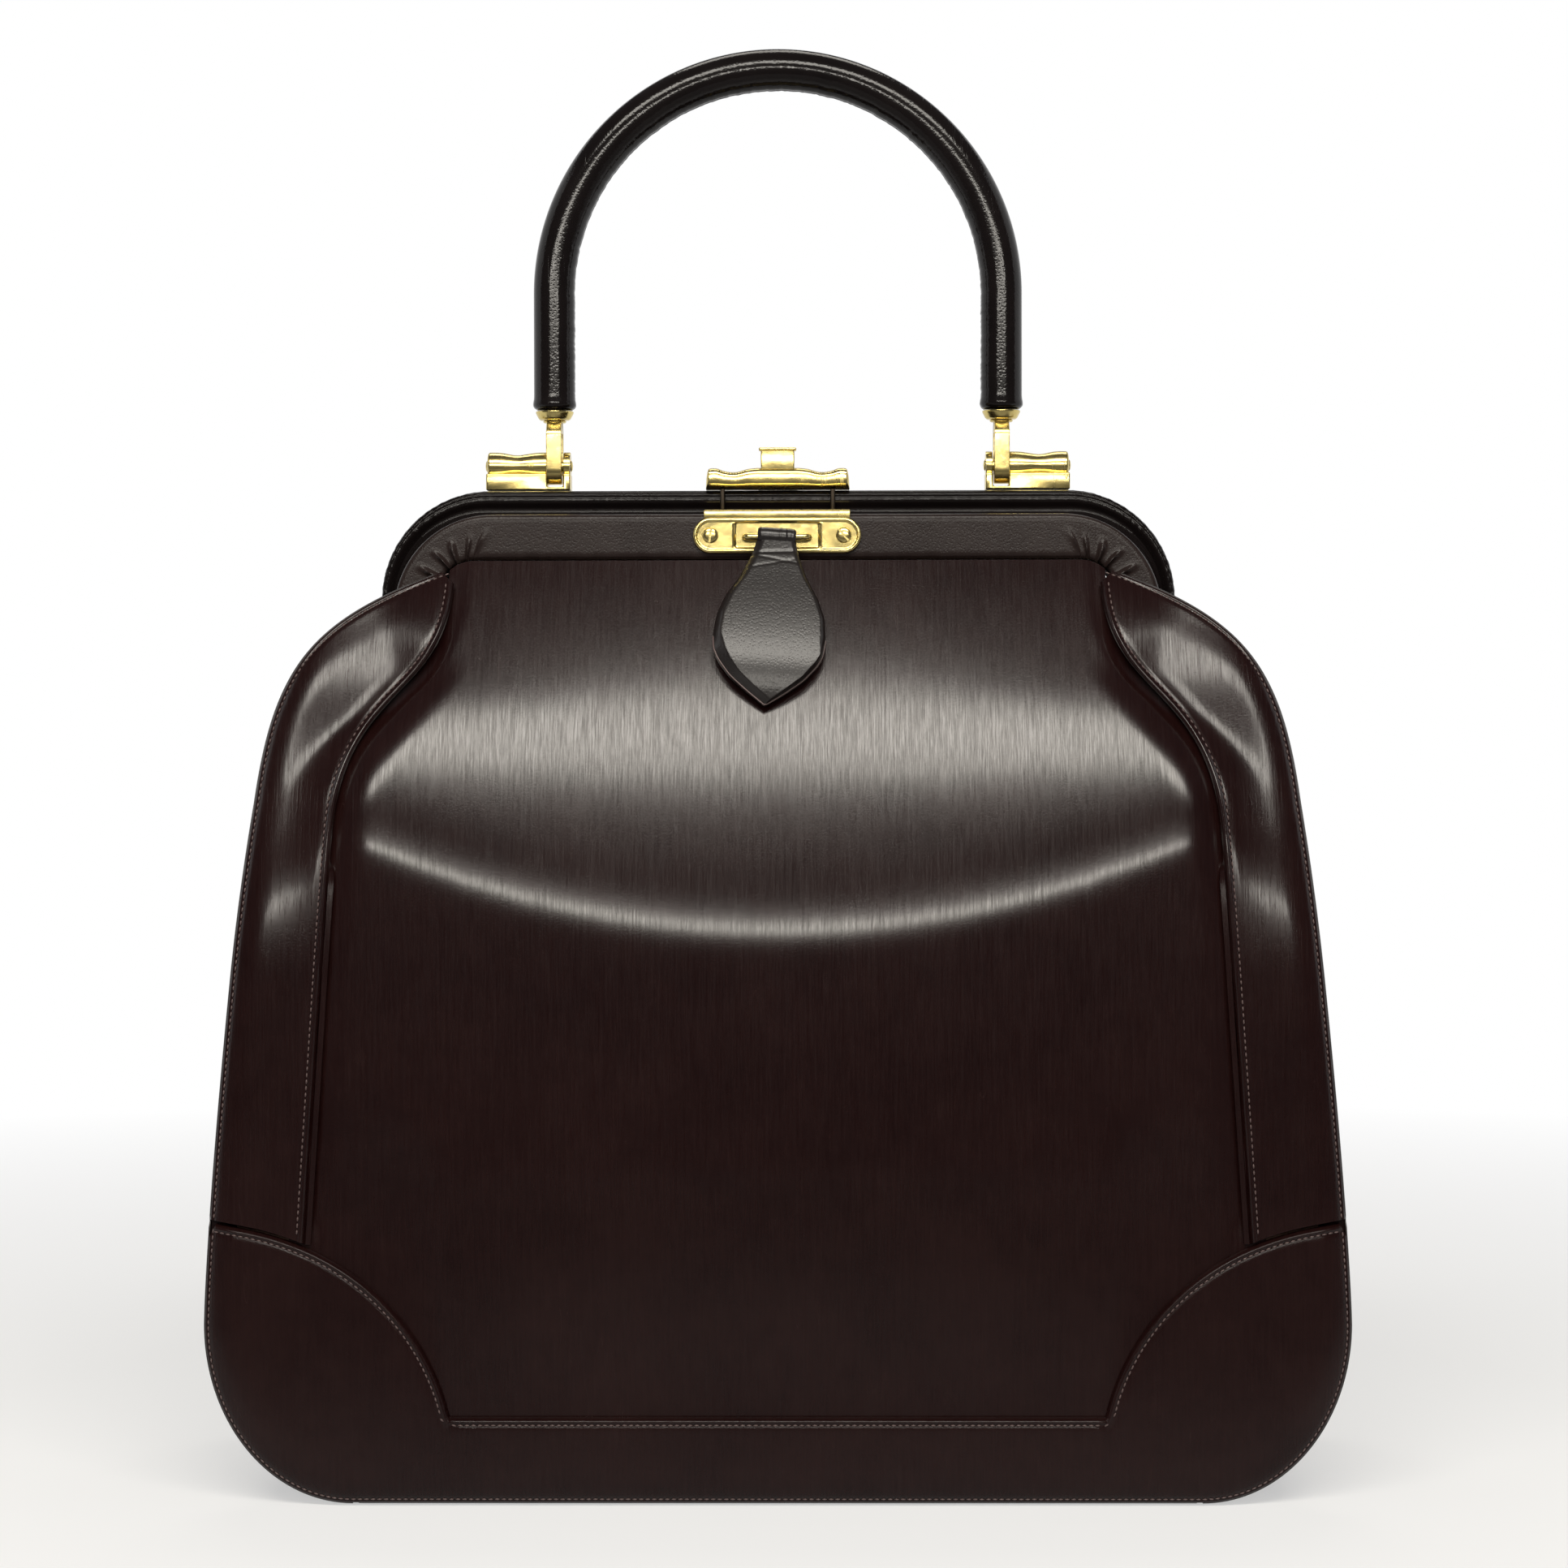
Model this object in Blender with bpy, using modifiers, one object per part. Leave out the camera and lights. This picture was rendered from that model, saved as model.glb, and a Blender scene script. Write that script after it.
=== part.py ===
"""A structured frame-top handbag with one stiff top handle, at its real size.

Metres, +Z up. The front faces -Y and +X is to the right as seen from the front. The origin is the
middle of the base, on the surface that the bag stands on.
"""

import math

import bmesh
import bpy
import numpy as np
from mathutils import Vector
from mathutils.geometry import interpolate_bezier

MM = 0.001

# Clearances
GAP = 0.3 * MM
FIT = 0.1 * MM
OVERRUN = 5 * MM
WELD = 0.001 * MM
MERGE = 0.01 * MM

# Height of the mouth, which the frames sit on. What is near it keeps its distance from it
MOUTH_HEIGHT = 232.2 * MM

# Outline of the body seen from the front
BODY_WIDTH = 280.2 * MM
BASE_WIDTH = 208 * MM
BELLY_HEIGHT = 44 * MM
SHOULDER_WIDTH = 257.2 * MM
SHOULDER_DROP = 60.2 * MM
SHOULDER_CORNER_WIDTH = 249.6 * MM
SHOULDER_CORNER_DROP = 18.2 * MM
TIP_WIDTH = 165.2 * MM
TIP_DROP = 2.3 * MM
SEAM_LIFT = 0.5 * MM
SIDE_POWER = 1.3
SHOULDER_ROUNDING = 0.8

# Section of the body seen from the side
BODY_DEPTH = 94 * MM
MOUTH_DEPTH = 32 * MM
BEND_DROP = 82.2 * MM
BEND_EASE = 22 * MM

# Leather
LEATHER = 1.3 * MM
STRIP_PROUD = 2.0 * MM
TUCK = 4 * MM
PILLOW = 4.5 * MM
ROLL = 3 * MM
ROLL_WIDTH = 8 * MM
ROLL_FADE_START_DROP = 34.2 * MM
ROLL_FADE_END_DROP = 10.2 * MM
LINING = 1.0 * MM
LINING_GAP = 1.1 * MM
EDGE_GAP = 0.8 * MM

# Centre panel, seen from the front
PANEL_BASE_WIDTH = 239.2 * MM
PANEL_WAIST_WIDTH = 216.8 * MM
PANEL_WAIST_DROP = 67.2 * MM
PANEL_TOP_WIDTH = 162 * MM
PANEL_TOP_DROP = 4.2 * MM
PANEL_LOW_HANDLE = 38 * MM
PANEL_HIGH_HANDLE = 32 * MM
PANEL_CORNER_DROP = 4 * MM
PANEL_CORNER_POWER = 8

# Bottom band with its corner patches
BAND_HEIGHT = 19.8 * MM
BAND_STRAIGHT = 160 * MM
PATCH_HEIGHT = 68.5 * MM
PATCH_SHOULDER = 12 * MM
PATCH_LOW_HANDLE_X = 6 * MM
PATCH_LOW_HANDLE_Z = 25.2 * MM
PATCH_HIGH_HANDLE_X = 31.5 * MM
PATCH_HIGH_HANDLE_Z = 2.5 * MM

# Gussets
GUSSET_INSET = 5 * MM
GUSSET_RISE = 30 * MM
GUSSET_HOLLOW = 3 * MM
GUSSET_TOP_SHARE = 0.865

# Base
BASE_THICKNESS = 2.2 * MM
BASE_EDGE = 0.5 * MM
BASE_END_GAP = 1 * MM
BOARD_THICKNESS = 2.2 * MM
BOARD_MARGIN = 3 * MM

# Frames: two leather-covered metal arches, hinged at their feet
FRAME_DEPTH = 30 * MM
FRAME_SPLIT = 1 * MM
FRAME_FOOT_RISE = 8 * MM
FRAME_EDGE = 1.2 * MM
FRAME_LEATHER = 1.5 * MM
FRONT_FRAME_WIDTH = 194 * MM
FRONT_FRAME_RAIL = 11.5 * MM
FRONT_FRAME_CORNER = 25 * MM
FRONT_FRAME_INNER_CORNER = 9 * MM
FRONT_FRAME_LEG = 11.5 * MM
BACK_FRAME_WIDTH = 204 * MM
BACK_FRAME_RAIL = 18.5 * MM
BACK_FRAME_CORNER = 28 * MM
BACK_FRAME_INNER_CORNER = 12 * MM
BACK_FRAME_LEG = 12 * MM
BACK_FRAME_EDGE = 3 * MM

# Frame hinge
HINGE_DROP = 46.2 * MM
EAR_RADIUS = 4.2 * MM
EAR_THICKNESS = 2.2 * MM
EAR_GAP = 0.6 * MM
FRONT_EAR_OFFSET = 6.2 * MM
EAR_REACH = 6 * MM
PIN_RADIUS = 1.5 * MM
PIN_HEAD_RADIUS = 2.6 * MM
PIN_HEAD = 1 * MM

# Handle
HANDLE_SPAN = 115.4 * MM
HANDLE_LEG = 28.9 * MM
HANDLE_RADIUS = 5.35 * MM
HANDLE_WALL = 1.45 * MM
PIVOT_RISE = 6.7 * MM
FERRULE_RADIUS = 5.15 * MM
FERRULE_HEIGHT = 2.8 * MM
LUG_THICKNESS = 3.9 * MM
LUG_RADIUS = 4.8 * MM
LUG_SHOULDER = 8.5 * MM
LUG_NECK_RADIUS = 2.6 * MM
LUG_NECK = 1.9 * MM
LUG_COLLAR_RADIUS = 4.5 * MM
LUG_COLLAR = 1.6 * MM
STEM_RADIUS = 2 * MM

# Handle brackets on the back frame
BRACKET_LENGTH = 21.7 * MM
BRACKET_DEPTH = 8 * MM
BRACKET_BLOCK = 4.3 * MM
BRACKET_EAR = 1.9 * MM
BARREL_RADIUS = 3.6 * MM
BARREL_DIP_RADIUS = 2.9 * MM
SLOT_FLOOR = 0.8 * MM
BRACKET_EDGE = 0.4 * MM

# Catch plate on the front frame
PLATE_LENGTH = 42.4 * MM
PLATE_HEIGHT = 8.8 * MM
PLATE_THICKNESS = 1 * MM
PLATE_DROP = 6 * MM
PLATE_RECESS_WIDTH = 20 * MM
PLATE_RECESS_HEIGHT = 6.4 * MM
PLATE_RECESS_DEPTH = 0.4 * MM
FLANGE_LENGTH = 36.8 * MM
FLANGE_THICKNESS = 0.6 * MM
FLANGE_SETBACK = 1.5 * MM
FLANGE_STEP = 0.1 * MM
SCREW_SPACING = 33.6 * MM
SCREW_HEAD_RADIUS = 2 * MM
SCREW_HEAD = 0.8 * MM
SCREW_SHANK_RADIUS = 1.1 * MM
SCREW_LENGTH = 6 * MM
SCREW_SLOT_WIDTH = 0.5 * MM
SCREW_SLOT_DEPTH = 0.4 * MM

# Pull tab and its bar
BAR_RADIUS = 0.8 * MM
BAR_LENGTH = 16 * MM
BAR_BEND = 1.2 * MM
BAR_STANDOFF = 2.7 * MM
TAB_LOOP_LENGTH = 9.6 * MM
TAB_LOOP_RADIUS = 2.2 * MM
TAB_BORE_RADIUS = 1.45 * MM
TAB_LENGTH = 46 * MM
TAB_WIDTH = 28 * MM
TAB_THICKNESS = 4.6 * MM
TAB_STRAP_THICKNESS = 1.8 * MM
TAB_SLOPE = math.radians(24)
TAB_LEAN = math.radians(4)

# Clasp lever on the back frame
CLASP_LENGTH = 36.8 * MM
CLASP_HEIGHT = 5.1 * MM
CLASP_DIP = 1.1 * MM
CLASP_DEPTH = 10.9 * MM
CLASP_OVERHANG = 2.9 * MM
CLASP_EDGE = 0.8 * MM
THUMB_WIDTH = 8.8 * MM
THUMB_DEPTH = 2.6 * MM
THUMB_HEIGHT = 5 * MM
THUMB_RIM = 0.8 * MM
PRONG_WIDTH = 2 * MM
PRONG_DEPTH = 2.3 * MM
PRONG_OFFSET = 14.1 * MM
PRONG_GAP = 0.4 * MM
KNUCKLE_RADIUS = 1.7 * MM
KNUCKLE_SETBACK = 3.5 * MM
KNUCKLE_WIDTH = 10.4 * MM
KNUCKLE_FOOT = 2.2 * MM
LEVER_EAR = 3.6 * MM
CLASP_PIN_RADIUS = 0.8 * MM

# Heights and places that follow from the sizes above
SHOULDER_HEIGHT = MOUTH_HEIGHT - SHOULDER_DROP
SHOULDER_CORNER_HEIGHT = MOUTH_HEIGHT - SHOULDER_CORNER_DROP
TIP_HEIGHT = MOUTH_HEIGHT - TIP_DROP
BEND_HEIGHT = MOUTH_HEIGHT - BEND_DROP
ROLL_FADE_LOW = MOUTH_HEIGHT - ROLL_FADE_START_DROP
ROLL_FADE_HIGH = MOUTH_HEIGHT - ROLL_FADE_END_DROP
PANEL_WAIST_HEIGHT = MOUTH_HEIGHT - PANEL_WAIST_DROP
PANEL_TOP_HEIGHT = MOUTH_HEIGHT - PANEL_TOP_DROP
FRAME_LOWER_EDGE = MOUTH_HEIGHT + GAP
FRONT_FRAME_TOP = FRAME_LOWER_EDGE + FRONT_FRAME_RAIL
BACK_FRAME_TOP = FRAME_LOWER_EDGE + BACK_FRAME_RAIL
HINGE_HEIGHT = MOUTH_HEIGHT - HINGE_DROP
FRAME_FOOT = HINGE_HEIGHT + FRAME_FOOT_RISE
PIVOT_HEIGHT = BACK_FRAME_TOP + PIVOT_RISE
PIVOT_Y = (FRAME_SPLIT / 2 + FRAME_DEPTH / 2) / 2
LUG_HEIGHT = LUG_SHOULDER + LUG_NECK + LUG_COLLAR + FERRULE_HEIGHT + 2 * GAP
HANDLE_FOOT = PIVOT_HEIGHT + LUG_HEIGHT
HANDLE_CENTRE_HEIGHT = HANDLE_FOOT + HANDLE_LEG
PLATE_CENTRE_HEIGHT = FRONT_FRAME_TOP - PLATE_DROP
BAR_Y = -FRAME_DEPTH / 2 - GAP - PLATE_THICKNESS - BAR_STANDOFF

# Shares that place the rows of a sheet or the points of an outline
TUCKED = 1.5
STRIP_TOP_SHARE = 0.985
STRIP_FOOT_POWER = 4
STRIP_COLUMN_SHARES = (0, 0.5, 0.8, 1)
BAND_STRAIGHT_SHARE = 0.25
BAND_ROW_SHARES = (0, 0.15, 0.4, 1)
GUSSET_FLANGE_SHARE = 0.9
GUSSET_COLUMN_SHARES = (0, 0.05, 0.275, 0.5, 0.725, 0.95, 1)
GUSSET_LINING_START_SHARE = 0.16
TANGENT_STEP_SHARE = 0.01
BARREL_SHARES = (0.85, 0.7, 0.45)
TAB_STRAP_SHARE = 0.1
TAB_POINT_SHARE = 0.2
TAB_EDGE_SHARE = 0.6
TAB_LENGTH_SHARES = (0, 0.1, 0.22, 0.38, 0.5, 0.6, 0.7, 0.8, 0.9, 1)
TAB_WIDTH_SHARES = (0.34, 0.4, 0.6, 0.86, 0.98, 1, 0.93, 0.74, 0.44, 0.04)
CLASP_LENGTH_SHARES = (0.34, 0.46, 0.6, 0.72, 0.84, 0.94, 1)
CLASP_DIP_SHARES = (0, 0.25, 1, 1, 0.25, 0.25, 1)
CLASP_FOOT_SHARE = 0.97

# How finely round shapes are faceted, and which edges are rounded
ROUND_SIDES = 20
SMALL_SIDES = 14
BAR_SIDES = 10
HANDLE_SIDES = 12
HANDLE_STEPS = 20
CORNER_STEPS = 7
EDGE_ANGLE = math.radians(50)
CLASP_EDGE_ANGLE = math.radians(70)
EAR_ARC_START = 80
EAR_ARC_END = -145

LOOKS = {
    "body_leather": ((0.022, 0.010, 0.010), 0.34, 0.0),
    "handle_leather": ((0.008, 0.006, 0.006), 0.22, 0.0),
    "frame_leather": ((0.020, 0.010, 0.010), 0.30, 0.0),
    "lining_fabric": ((0.120, 0.080, 0.055), 0.90, 0.0),
    "base_board": ((0.100, 0.070, 0.050), 0.90, 0.0),
    "frame_metal": ((0.450, 0.430, 0.400), 0.35, 1.0),
    "gold": ((0.850, 0.620, 0.240), 0.20, 1.0),
}


# Scene and objects


def clear_scene():
    for obj in list(bpy.data.objects):
        bpy.data.objects.remove(obj, do_unlink=True)


def new_collection(name):
    collection = bpy.data.collections.new(name)
    bpy.context.scene.collection.children.link(collection)
    return collection


def make_looks():
    for name, (color, roughness, metallic) in LOOKS.items():
        look = bpy.data.materials.new(name)
        look.use_nodes = True
        shader = look.node_tree.nodes["Principled BSDF"]
        shader.inputs["Base Color"].default_value = (*color, 1)
        shader.inputs["Roughness"].default_value = roughness
        shader.inputs["Metallic"].default_value = metallic


def add_piece(name, mesh, look):
    """A visible piece of the bag."""
    obj = bpy.data.objects.new(name, mesh)
    PIECES.objects.link(obj)
    mesh.materials.clear()
    mesh.materials.append(bpy.data.materials[look])
    return obj


def as_helper(obj):
    """Makes an object a cutter or a shape that a Boolean adds, which isn't a piece itself."""
    for collection in list(obj.users_collection):
        collection.objects.unlink(obj)
    HELPERS.objects.link(obj)
    obj.hide_render = True
    obj.display_type = "WIRE"
    return obj


def mesh_from(bm, name):
    mesh = bpy.data.meshes.new(name)
    bm.to_mesh(mesh)
    bm.free()
    return mesh


def round_off(obj, width, angle=EDGE_ANGLE, segments=2):
    bevel = obj.modifiers.new("rounded_edges", "BEVEL")
    bevel.width = width
    bevel.segments = segments
    bevel.limit_method = "ANGLE"
    bevel.angle_limit = angle


def boolean(obj, other, operation):
    modifier = obj.modifiers.new(f"{operation.lower()}_{other.name}", "BOOLEAN")
    modifier.operation = operation
    modifier.object = as_helper(other)


def cut(obj, *cutters):
    for cutter in cutters:
        boolean(obj, cutter, "DIFFERENCE")


def add(obj, *others):
    for other in others:
        boolean(obj, other, "UNION")


# Shapes


def box(name, low, high, look):
    """A box between two corners."""
    bm = bmesh.new()
    bmesh.ops.create_cube(bm, size=1)
    low, high = Vector(low), Vector(high)
    for vertex in bm.verts:
        vertex.co = Vector((low[i] + (vertex.co[i] + 0.5) * (high[i] - low[i]) for i in range(3)))
    return add_piece(name, mesh_from(bm, name), look)


def rod(name, radius, start, end, look, sides=ROUND_SIDES):
    """A cylinder from start to end."""
    start, end = Vector(start), Vector(end)
    bm = bmesh.new()
    bmesh.ops.create_cone(
        bm,
        cap_ends=True,
        segments=sides,
        radius1=radius,
        radius2=radius,
        depth=(end - start).length,
    )
    turn = (end - start).to_track_quat("Z", "Y")
    bmesh.ops.rotate(bm, verts=bm.verts, matrix=turn.to_matrix())
    bmesh.ops.translate(bm, verts=bm.verts, vec=(start + end) / 2)
    return add_piece(name, mesh_from(bm, name), look)


def turned(name, profile, origin, axis, look, sides=ROUND_SIDES, closed=False):
    """A turned shape, from (radius, place along the axis) down its outer side. A closed profile makes a ring."""
    bm = bmesh.new()
    points = [bm.verts.new((radius, 0, place)) for radius, place in profile]
    for first, second in zip(points, points[1:] + points[:closed]):
        bm.edges.new((first, second))
    obj = add_piece(name, mesh_from(bm, name), look)
    obj.location = origin
    obj.rotation_euler = Vector(axis).to_track_quat("Z", "Y").to_euler()
    screw = obj.modifiers.new("turned", "SCREW")
    screw.steps = screw.render_steps = sides
    screw.use_merge_vertices = True
    screw.merge_threshold = MERGE
    return obj


def solid_mesh(obj, name, look):
    """A curve object made a mesh with its caps welded. The curve is removed."""
    graph = bpy.context.evaluated_depsgraph_get()
    mesh = bpy.data.meshes.new_from_object(obj.evaluated_get(graph))
    bm = bmesh.new()
    bm.from_mesh(mesh)
    bmesh.ops.remove_doubles(bm, verts=bm.verts, dist=WELD)
    bmesh.ops.recalc_face_normals(bm, faces=bm.faces)
    bm.to_mesh(mesh)
    bm.free()
    world = obj.matrix_world.copy()
    bpy.data.objects.remove(obj, do_unlink=True)
    solid = add_piece(name, mesh, look)
    solid.matrix_world = world
    return solid


def plate(name, loops, low, high, facing, look):
    """Flat outlines extruded from low to high along X, or along Y where facing is "Y".

    The loops are closed outlines in the two other axes: the first is the rim and the others are holes.
    """
    curve = bpy.data.curves.new(name, "CURVE")
    curve.dimensions = "2D"
    curve.fill_mode = "BOTH"
    curve.extrude = (high - low) / 2
    for loop in loops:
        spline = curve.splines.new("POLY")
        spline.points.add(len(loop) - 1)
        for point, (across, up) in zip(spline.points, loop):
            point.co = (across, up, 0, 1)
        spline.use_cyclic_u = True
    obj = bpy.data.objects.new(name, curve)
    PIECES.objects.link(obj)
    quarter = math.pi / 2
    if facing == "Y":
        obj.rotation_euler = (quarter, 0, 0)
        obj.location = (0, (low + high) / 2, 0)
    else:
        obj.rotation_euler = (quarter, 0, quarter)
        obj.location = ((low + high) / 2, 0, 0)
    bpy.context.view_layer.update()
    return solid_mesh(obj, name, look)


def tube(name, points, radius, look, sides, capped=True):
    """A round tube along a smooth list of points."""
    curve = bpy.data.curves.new(name, "CURVE")
    curve.dimensions = "3D"
    curve.bevel_depth = radius
    curve.bevel_resolution = sides // 2 - 2
    curve.use_fill_caps = capped
    spline = curve.splines.new("POLY")
    spline.points.add(len(points) - 1)
    for point, place in zip(spline.points, points):
        point.co = (*place, 1)
    obj = bpy.data.objects.new(name, curve)
    PIECES.objects.link(obj)
    bpy.context.view_layer.update()
    return solid_mesh(obj, name, look)


def shell(
    name, surface, column_shares, row_shares, thickness, look, flip_x=False, flip_y=False
):
    """A sheet of leather or cloth: surface(u, v) is its outer side, and the thickness goes inwards."""
    columns, rows = len(column_shares) - 1, len(row_shares) - 1
    bm = bmesh.new()
    bmesh.ops.create_grid(bm, x_segments=columns, y_segments=rows, size=0.5)
    for vertex in bm.verts:
        u = column_shares[round((vertex.co.x + 0.5) * columns)]
        v = row_shares[round((vertex.co.y + 0.5) * rows)]
        x, y, z = surface(u, v)
        vertex.co = (-x if flip_x else x, -y if flip_y else y, z)
    if flip_x != flip_y:
        bmesh.ops.reverse_faces(bm, faces=bm.faces)
    obj = add_piece(name, mesh_from(bm, name), look)
    solidify = obj.modifiers.new("thickness", "SOLIDIFY")
    solidify.thickness = thickness
    solidify.offset = -1
    solidify.use_even_offset = True
    obj.data.shade_smooth()
    return obj


# Outlines


def arc(centre, radius, start, end, steps):
    """Points along an arc, with angles in degrees."""
    angles = [math.radians(start + (end - start) * i / steps) for i in range(steps + 1)]
    return [(centre[0] + radius * math.cos(a), centre[1] + radius * math.sin(a)) for a in angles]


def bezier(start, start_handle, end_handle, end, count):
    knots = [Vector((*p, 0)) for p in (start, start_handle, end_handle, end)]
    return np.array([point[:2] for point in interpolate_bezier(*knots, count)])


def along(points, share):
    """The point at this share of a polyline's length."""
    steps = np.linalg.norm(np.diff(points, axis=0), axis=1)
    run = np.concatenate([[0], np.cumsum(steps)]) / steps.sum()
    return np.array([np.interp(share, run, points[:, 0]), np.interp(share, run, points[:, 1])])


def eased(value, low, high):
    """0 below low, 1 above high, with a smooth rise between."""
    share = min(max((value - low) / (high - low), 0), 1)
    return share * share * (3 - 2 * share)


def body_outline():
    """The right half of the body's outline, from the base corner up to the tip of the side strip."""
    half, base, shoulder = BODY_WIDTH / 2, BASE_WIDTH / 2, SHOULDER_WIDTH / 2
    corner = [
        (
            base + (half - base) * math.sin(angle),
            SEAM_LIFT + (BELLY_HEIGHT - SEAM_LIFT) * (1 - math.cos(angle)),
        )
        for angle in np.linspace(0, math.pi / 2, 14)
    ]
    side = [
        (
            half - (half - shoulder) * share**SIDE_POWER,
            BELLY_HEIGHT + (SHOULDER_HEIGHT - BELLY_HEIGHT) * share,
        )
        for share in np.linspace(0, 1, 16)[1:]
    ]
    start = np.array([shoulder, SHOULDER_HEIGHT])
    end = np.array([TIP_WIDTH / 2, TIP_HEIGHT])
    crossing = np.array([SHOULDER_CORNER_WIDTH / 2, SHOULDER_CORNER_HEIGHT])
    top = bezier(
        start,
        start + SHOULDER_ROUNDING * (crossing - start),
        end + SHOULDER_ROUNDING * (crossing - end),
        end,
        18,
    )
    return np.concatenate([corner, side, top[1:]])


def panel_edge():
    """The right edge of the centre panel, from the base up to the frame."""
    base = (PANEL_BASE_WIDTH / 2, 0)
    waist = (PANEL_WAIST_WIDTH / 2, PANEL_WAIST_HEIGHT)
    top = (PANEL_TOP_WIDTH / 2, PANEL_TOP_HEIGHT)
    narrowing = (base[0] - waist[0]) / PANEL_WAIST_HEIGHT
    low_handle = (waist[0] - narrowing * PANEL_LOW_HANDLE, waist[1] + PANEL_LOW_HANDLE)
    high_handle = (top[0], top[1] - PANEL_HIGH_HANDLE)
    curve = bezier(waist, low_handle, high_handle, top, 18)
    return np.concatenate([[base], curve])


def patch_edge():
    """The upper edge of the right corner patch, from the straight band out to the body's outline."""
    start = np.array([BAND_STRAIGHT / 2, BAND_HEIGHT])
    end = np.array([np.interp(PATCH_HEIGHT, OUTLINE[:, 1], OUTLINE[:, 0]), PATCH_HEIGHT])
    return bezier(
        start,
        start + (PATCH_LOW_HANDLE_X, PATCH_LOW_HANDLE_Z),
        end - (PATCH_HIGH_HANDLE_X, PATCH_HIGH_HANDLE_Z),
        end,
        18,
    )


def half_width(height):
    return float(np.interp(height, OUTLINE[:, 1], OUTLINE[:, 0]))


def panel_half_width(height):
    return float(np.interp(height, PANEL_EDGE[:, 1], PANEL_EDGE[:, 0]))


def band_top(x):
    """Height of the upper edge of the bottom band at this distance from the middle."""
    return float(np.interp(abs(x), PATCH_EDGE[:, 0], PATCH_EDGE[:, 1]))


# The body's surface


def half_depth(height):
    """Distance of the front seam from the middle plane."""
    slope = (BODY_DEPTH - MOUTH_DEPTH) / 2 / (MOUTH_HEIGHT - BEND_HEIGHT)
    above = height - BEND_HEIGHT
    if above <= -BEND_EASE:
        fall = 0
    elif above >= BEND_EASE:
        fall = above
    else:
        fall = (above + BEND_EASE) ** 2 / (4 * BEND_EASE)
    return BODY_DEPTH / 2 - slope * fall


def pillow(x, height):
    """How far the centre panel bulges: nothing at its edges and most in its middle."""
    across = min(abs(x) / panel_half_width(height), 1)
    low = band_top(x)
    up = min(max((height - low) / (MOUTH_HEIGHT - low), 0), 1)
    return PILLOW * (1 - across**2) * (1 - (2 * up - 1) ** 2)


def roll(distance, height):
    """How far the leather falls back at this distance from the seam."""
    share = max(1 - distance / ROLL_WIDTH, 0)
    return ROLL * share**2 * (1 - eased(height, ROLL_FADE_LOW, ROLL_FADE_HIGH))


def strip_point(x, height, distance):
    return (x, -half_depth(height) - STRIP_PROUD + roll(distance, height), height)


def center_panel_surface(u, v):
    side = math.copysign(1, u)
    reach = min(abs(u), 1)
    margin = TUCK if abs(u) > 1 else 0
    waist = reach * panel_half_width(PATCH_HEIGHT)
    low = band_top(waist)
    high = MOUTH_HEIGHT - PANEL_CORNER_DROP * reach**PANEL_CORNER_POWER
    height = low - TUCK if v < 0 else low + (high - low) * v
    x = side * (reach * panel_half_width(height) + margin * (1 - max(v, 0)))
    return (x, -half_depth(height) - pillow(x, height), height)


def side_strip_surface(u, v):
    """u runs from the centre panel out to the seam, and v from the corner patch up to the frame."""
    inner_low = (panel_half_width(PATCH_HEIGHT), band_top(panel_half_width(PATCH_HEIGHT)) + EDGE_GAP)
    inner = PANEL_EDGE[PANEL_EDGE[:, 1] > PATCH_HEIGHT]
    inner = np.concatenate([[inner_low], inner])
    outer = OUTLINE[OUTLINE[:, 1] > PATCH_HEIGHT + GAP]
    near, far = along(inner, v), along(outer, v)
    x, height = near + (far - near) * u
    lowest = band_top(x) + EDGE_GAP
    straight = inner[0][1] + (outer[0][1] - inner[0][1]) * u
    height += (lowest - straight) * (1 - v) ** STRIP_FOOT_POWER
    return strip_point(x, height, (1 - u) * np.linalg.norm(far - near))


def bottom_band_surface(u, v):
    """u runs from the left patch to the right one, and v from the seam up to the band's edge."""
    side = math.copysign(1, u - 0.5)
    reach = abs(2 * u - 1)
    straight = BAND_STRAIGHT_SHARE
    if reach <= straight:
        x = BAND_STRAIGHT / 2 * reach / straight
        near, far = np.array([x, SEAM_LIFT]), np.array([x, BAND_HEIGHT])
    else:
        share = (reach - straight) / (1 - straight)
        curved = PATCH_EDGE[PATCH_EDGE[:, 0] < half_width(PATCH_HEIGHT) - PATCH_SHOULDER]
        seam = OUTLINE[OUTLINE[:, 1] < PATCH_HEIGHT]
        seam = np.concatenate([[(BAND_STRAIGHT / 2, SEAM_LIFT)], seam])
        near, far = along(seam, share), along(curved, share)
    x, height = near + (far - near) * v
    return strip_point(side * x, height, v * np.linalg.norm(far - near))


def lining_surface(u, v):
    floor = BASE_THICKNESS + BOARD_THICKNESS + 2 * GAP
    height = floor + (MOUTH_HEIGHT - floor) * v
    wide = half_width(height) - GUSSET_INSET - LEATHER - GAP
    narrow = panel_half_width(height)
    x = u * (wide + (narrow - wide) * eased(height, PANEL_WAIST_HEIGHT, ROLL_FADE_HIGH))
    high = MOUTH_HEIGHT - PANEL_CORNER_DROP * abs(u) ** PANEL_CORNER_POWER
    height = min(height, high)
    return (x, -half_depth(height) - pillow(x, height) + LEATHER + LINING_GAP, height)


def gusset_frame(v):
    """A point of the outline and its inward direction, at this share of the way up the gusset."""
    share = v * GUSSET_TOP_SHARE
    point = along(OUTLINE, share)
    before = along(OUTLINE, max(share - TANGENT_STEP_SHARE, 0))
    step = along(OUTLINE, share + TANGENT_STEP_SHARE) - before
    step /= np.linalg.norm(step)
    inward = np.array([-step[1], step[0]])
    return point, inward


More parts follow.
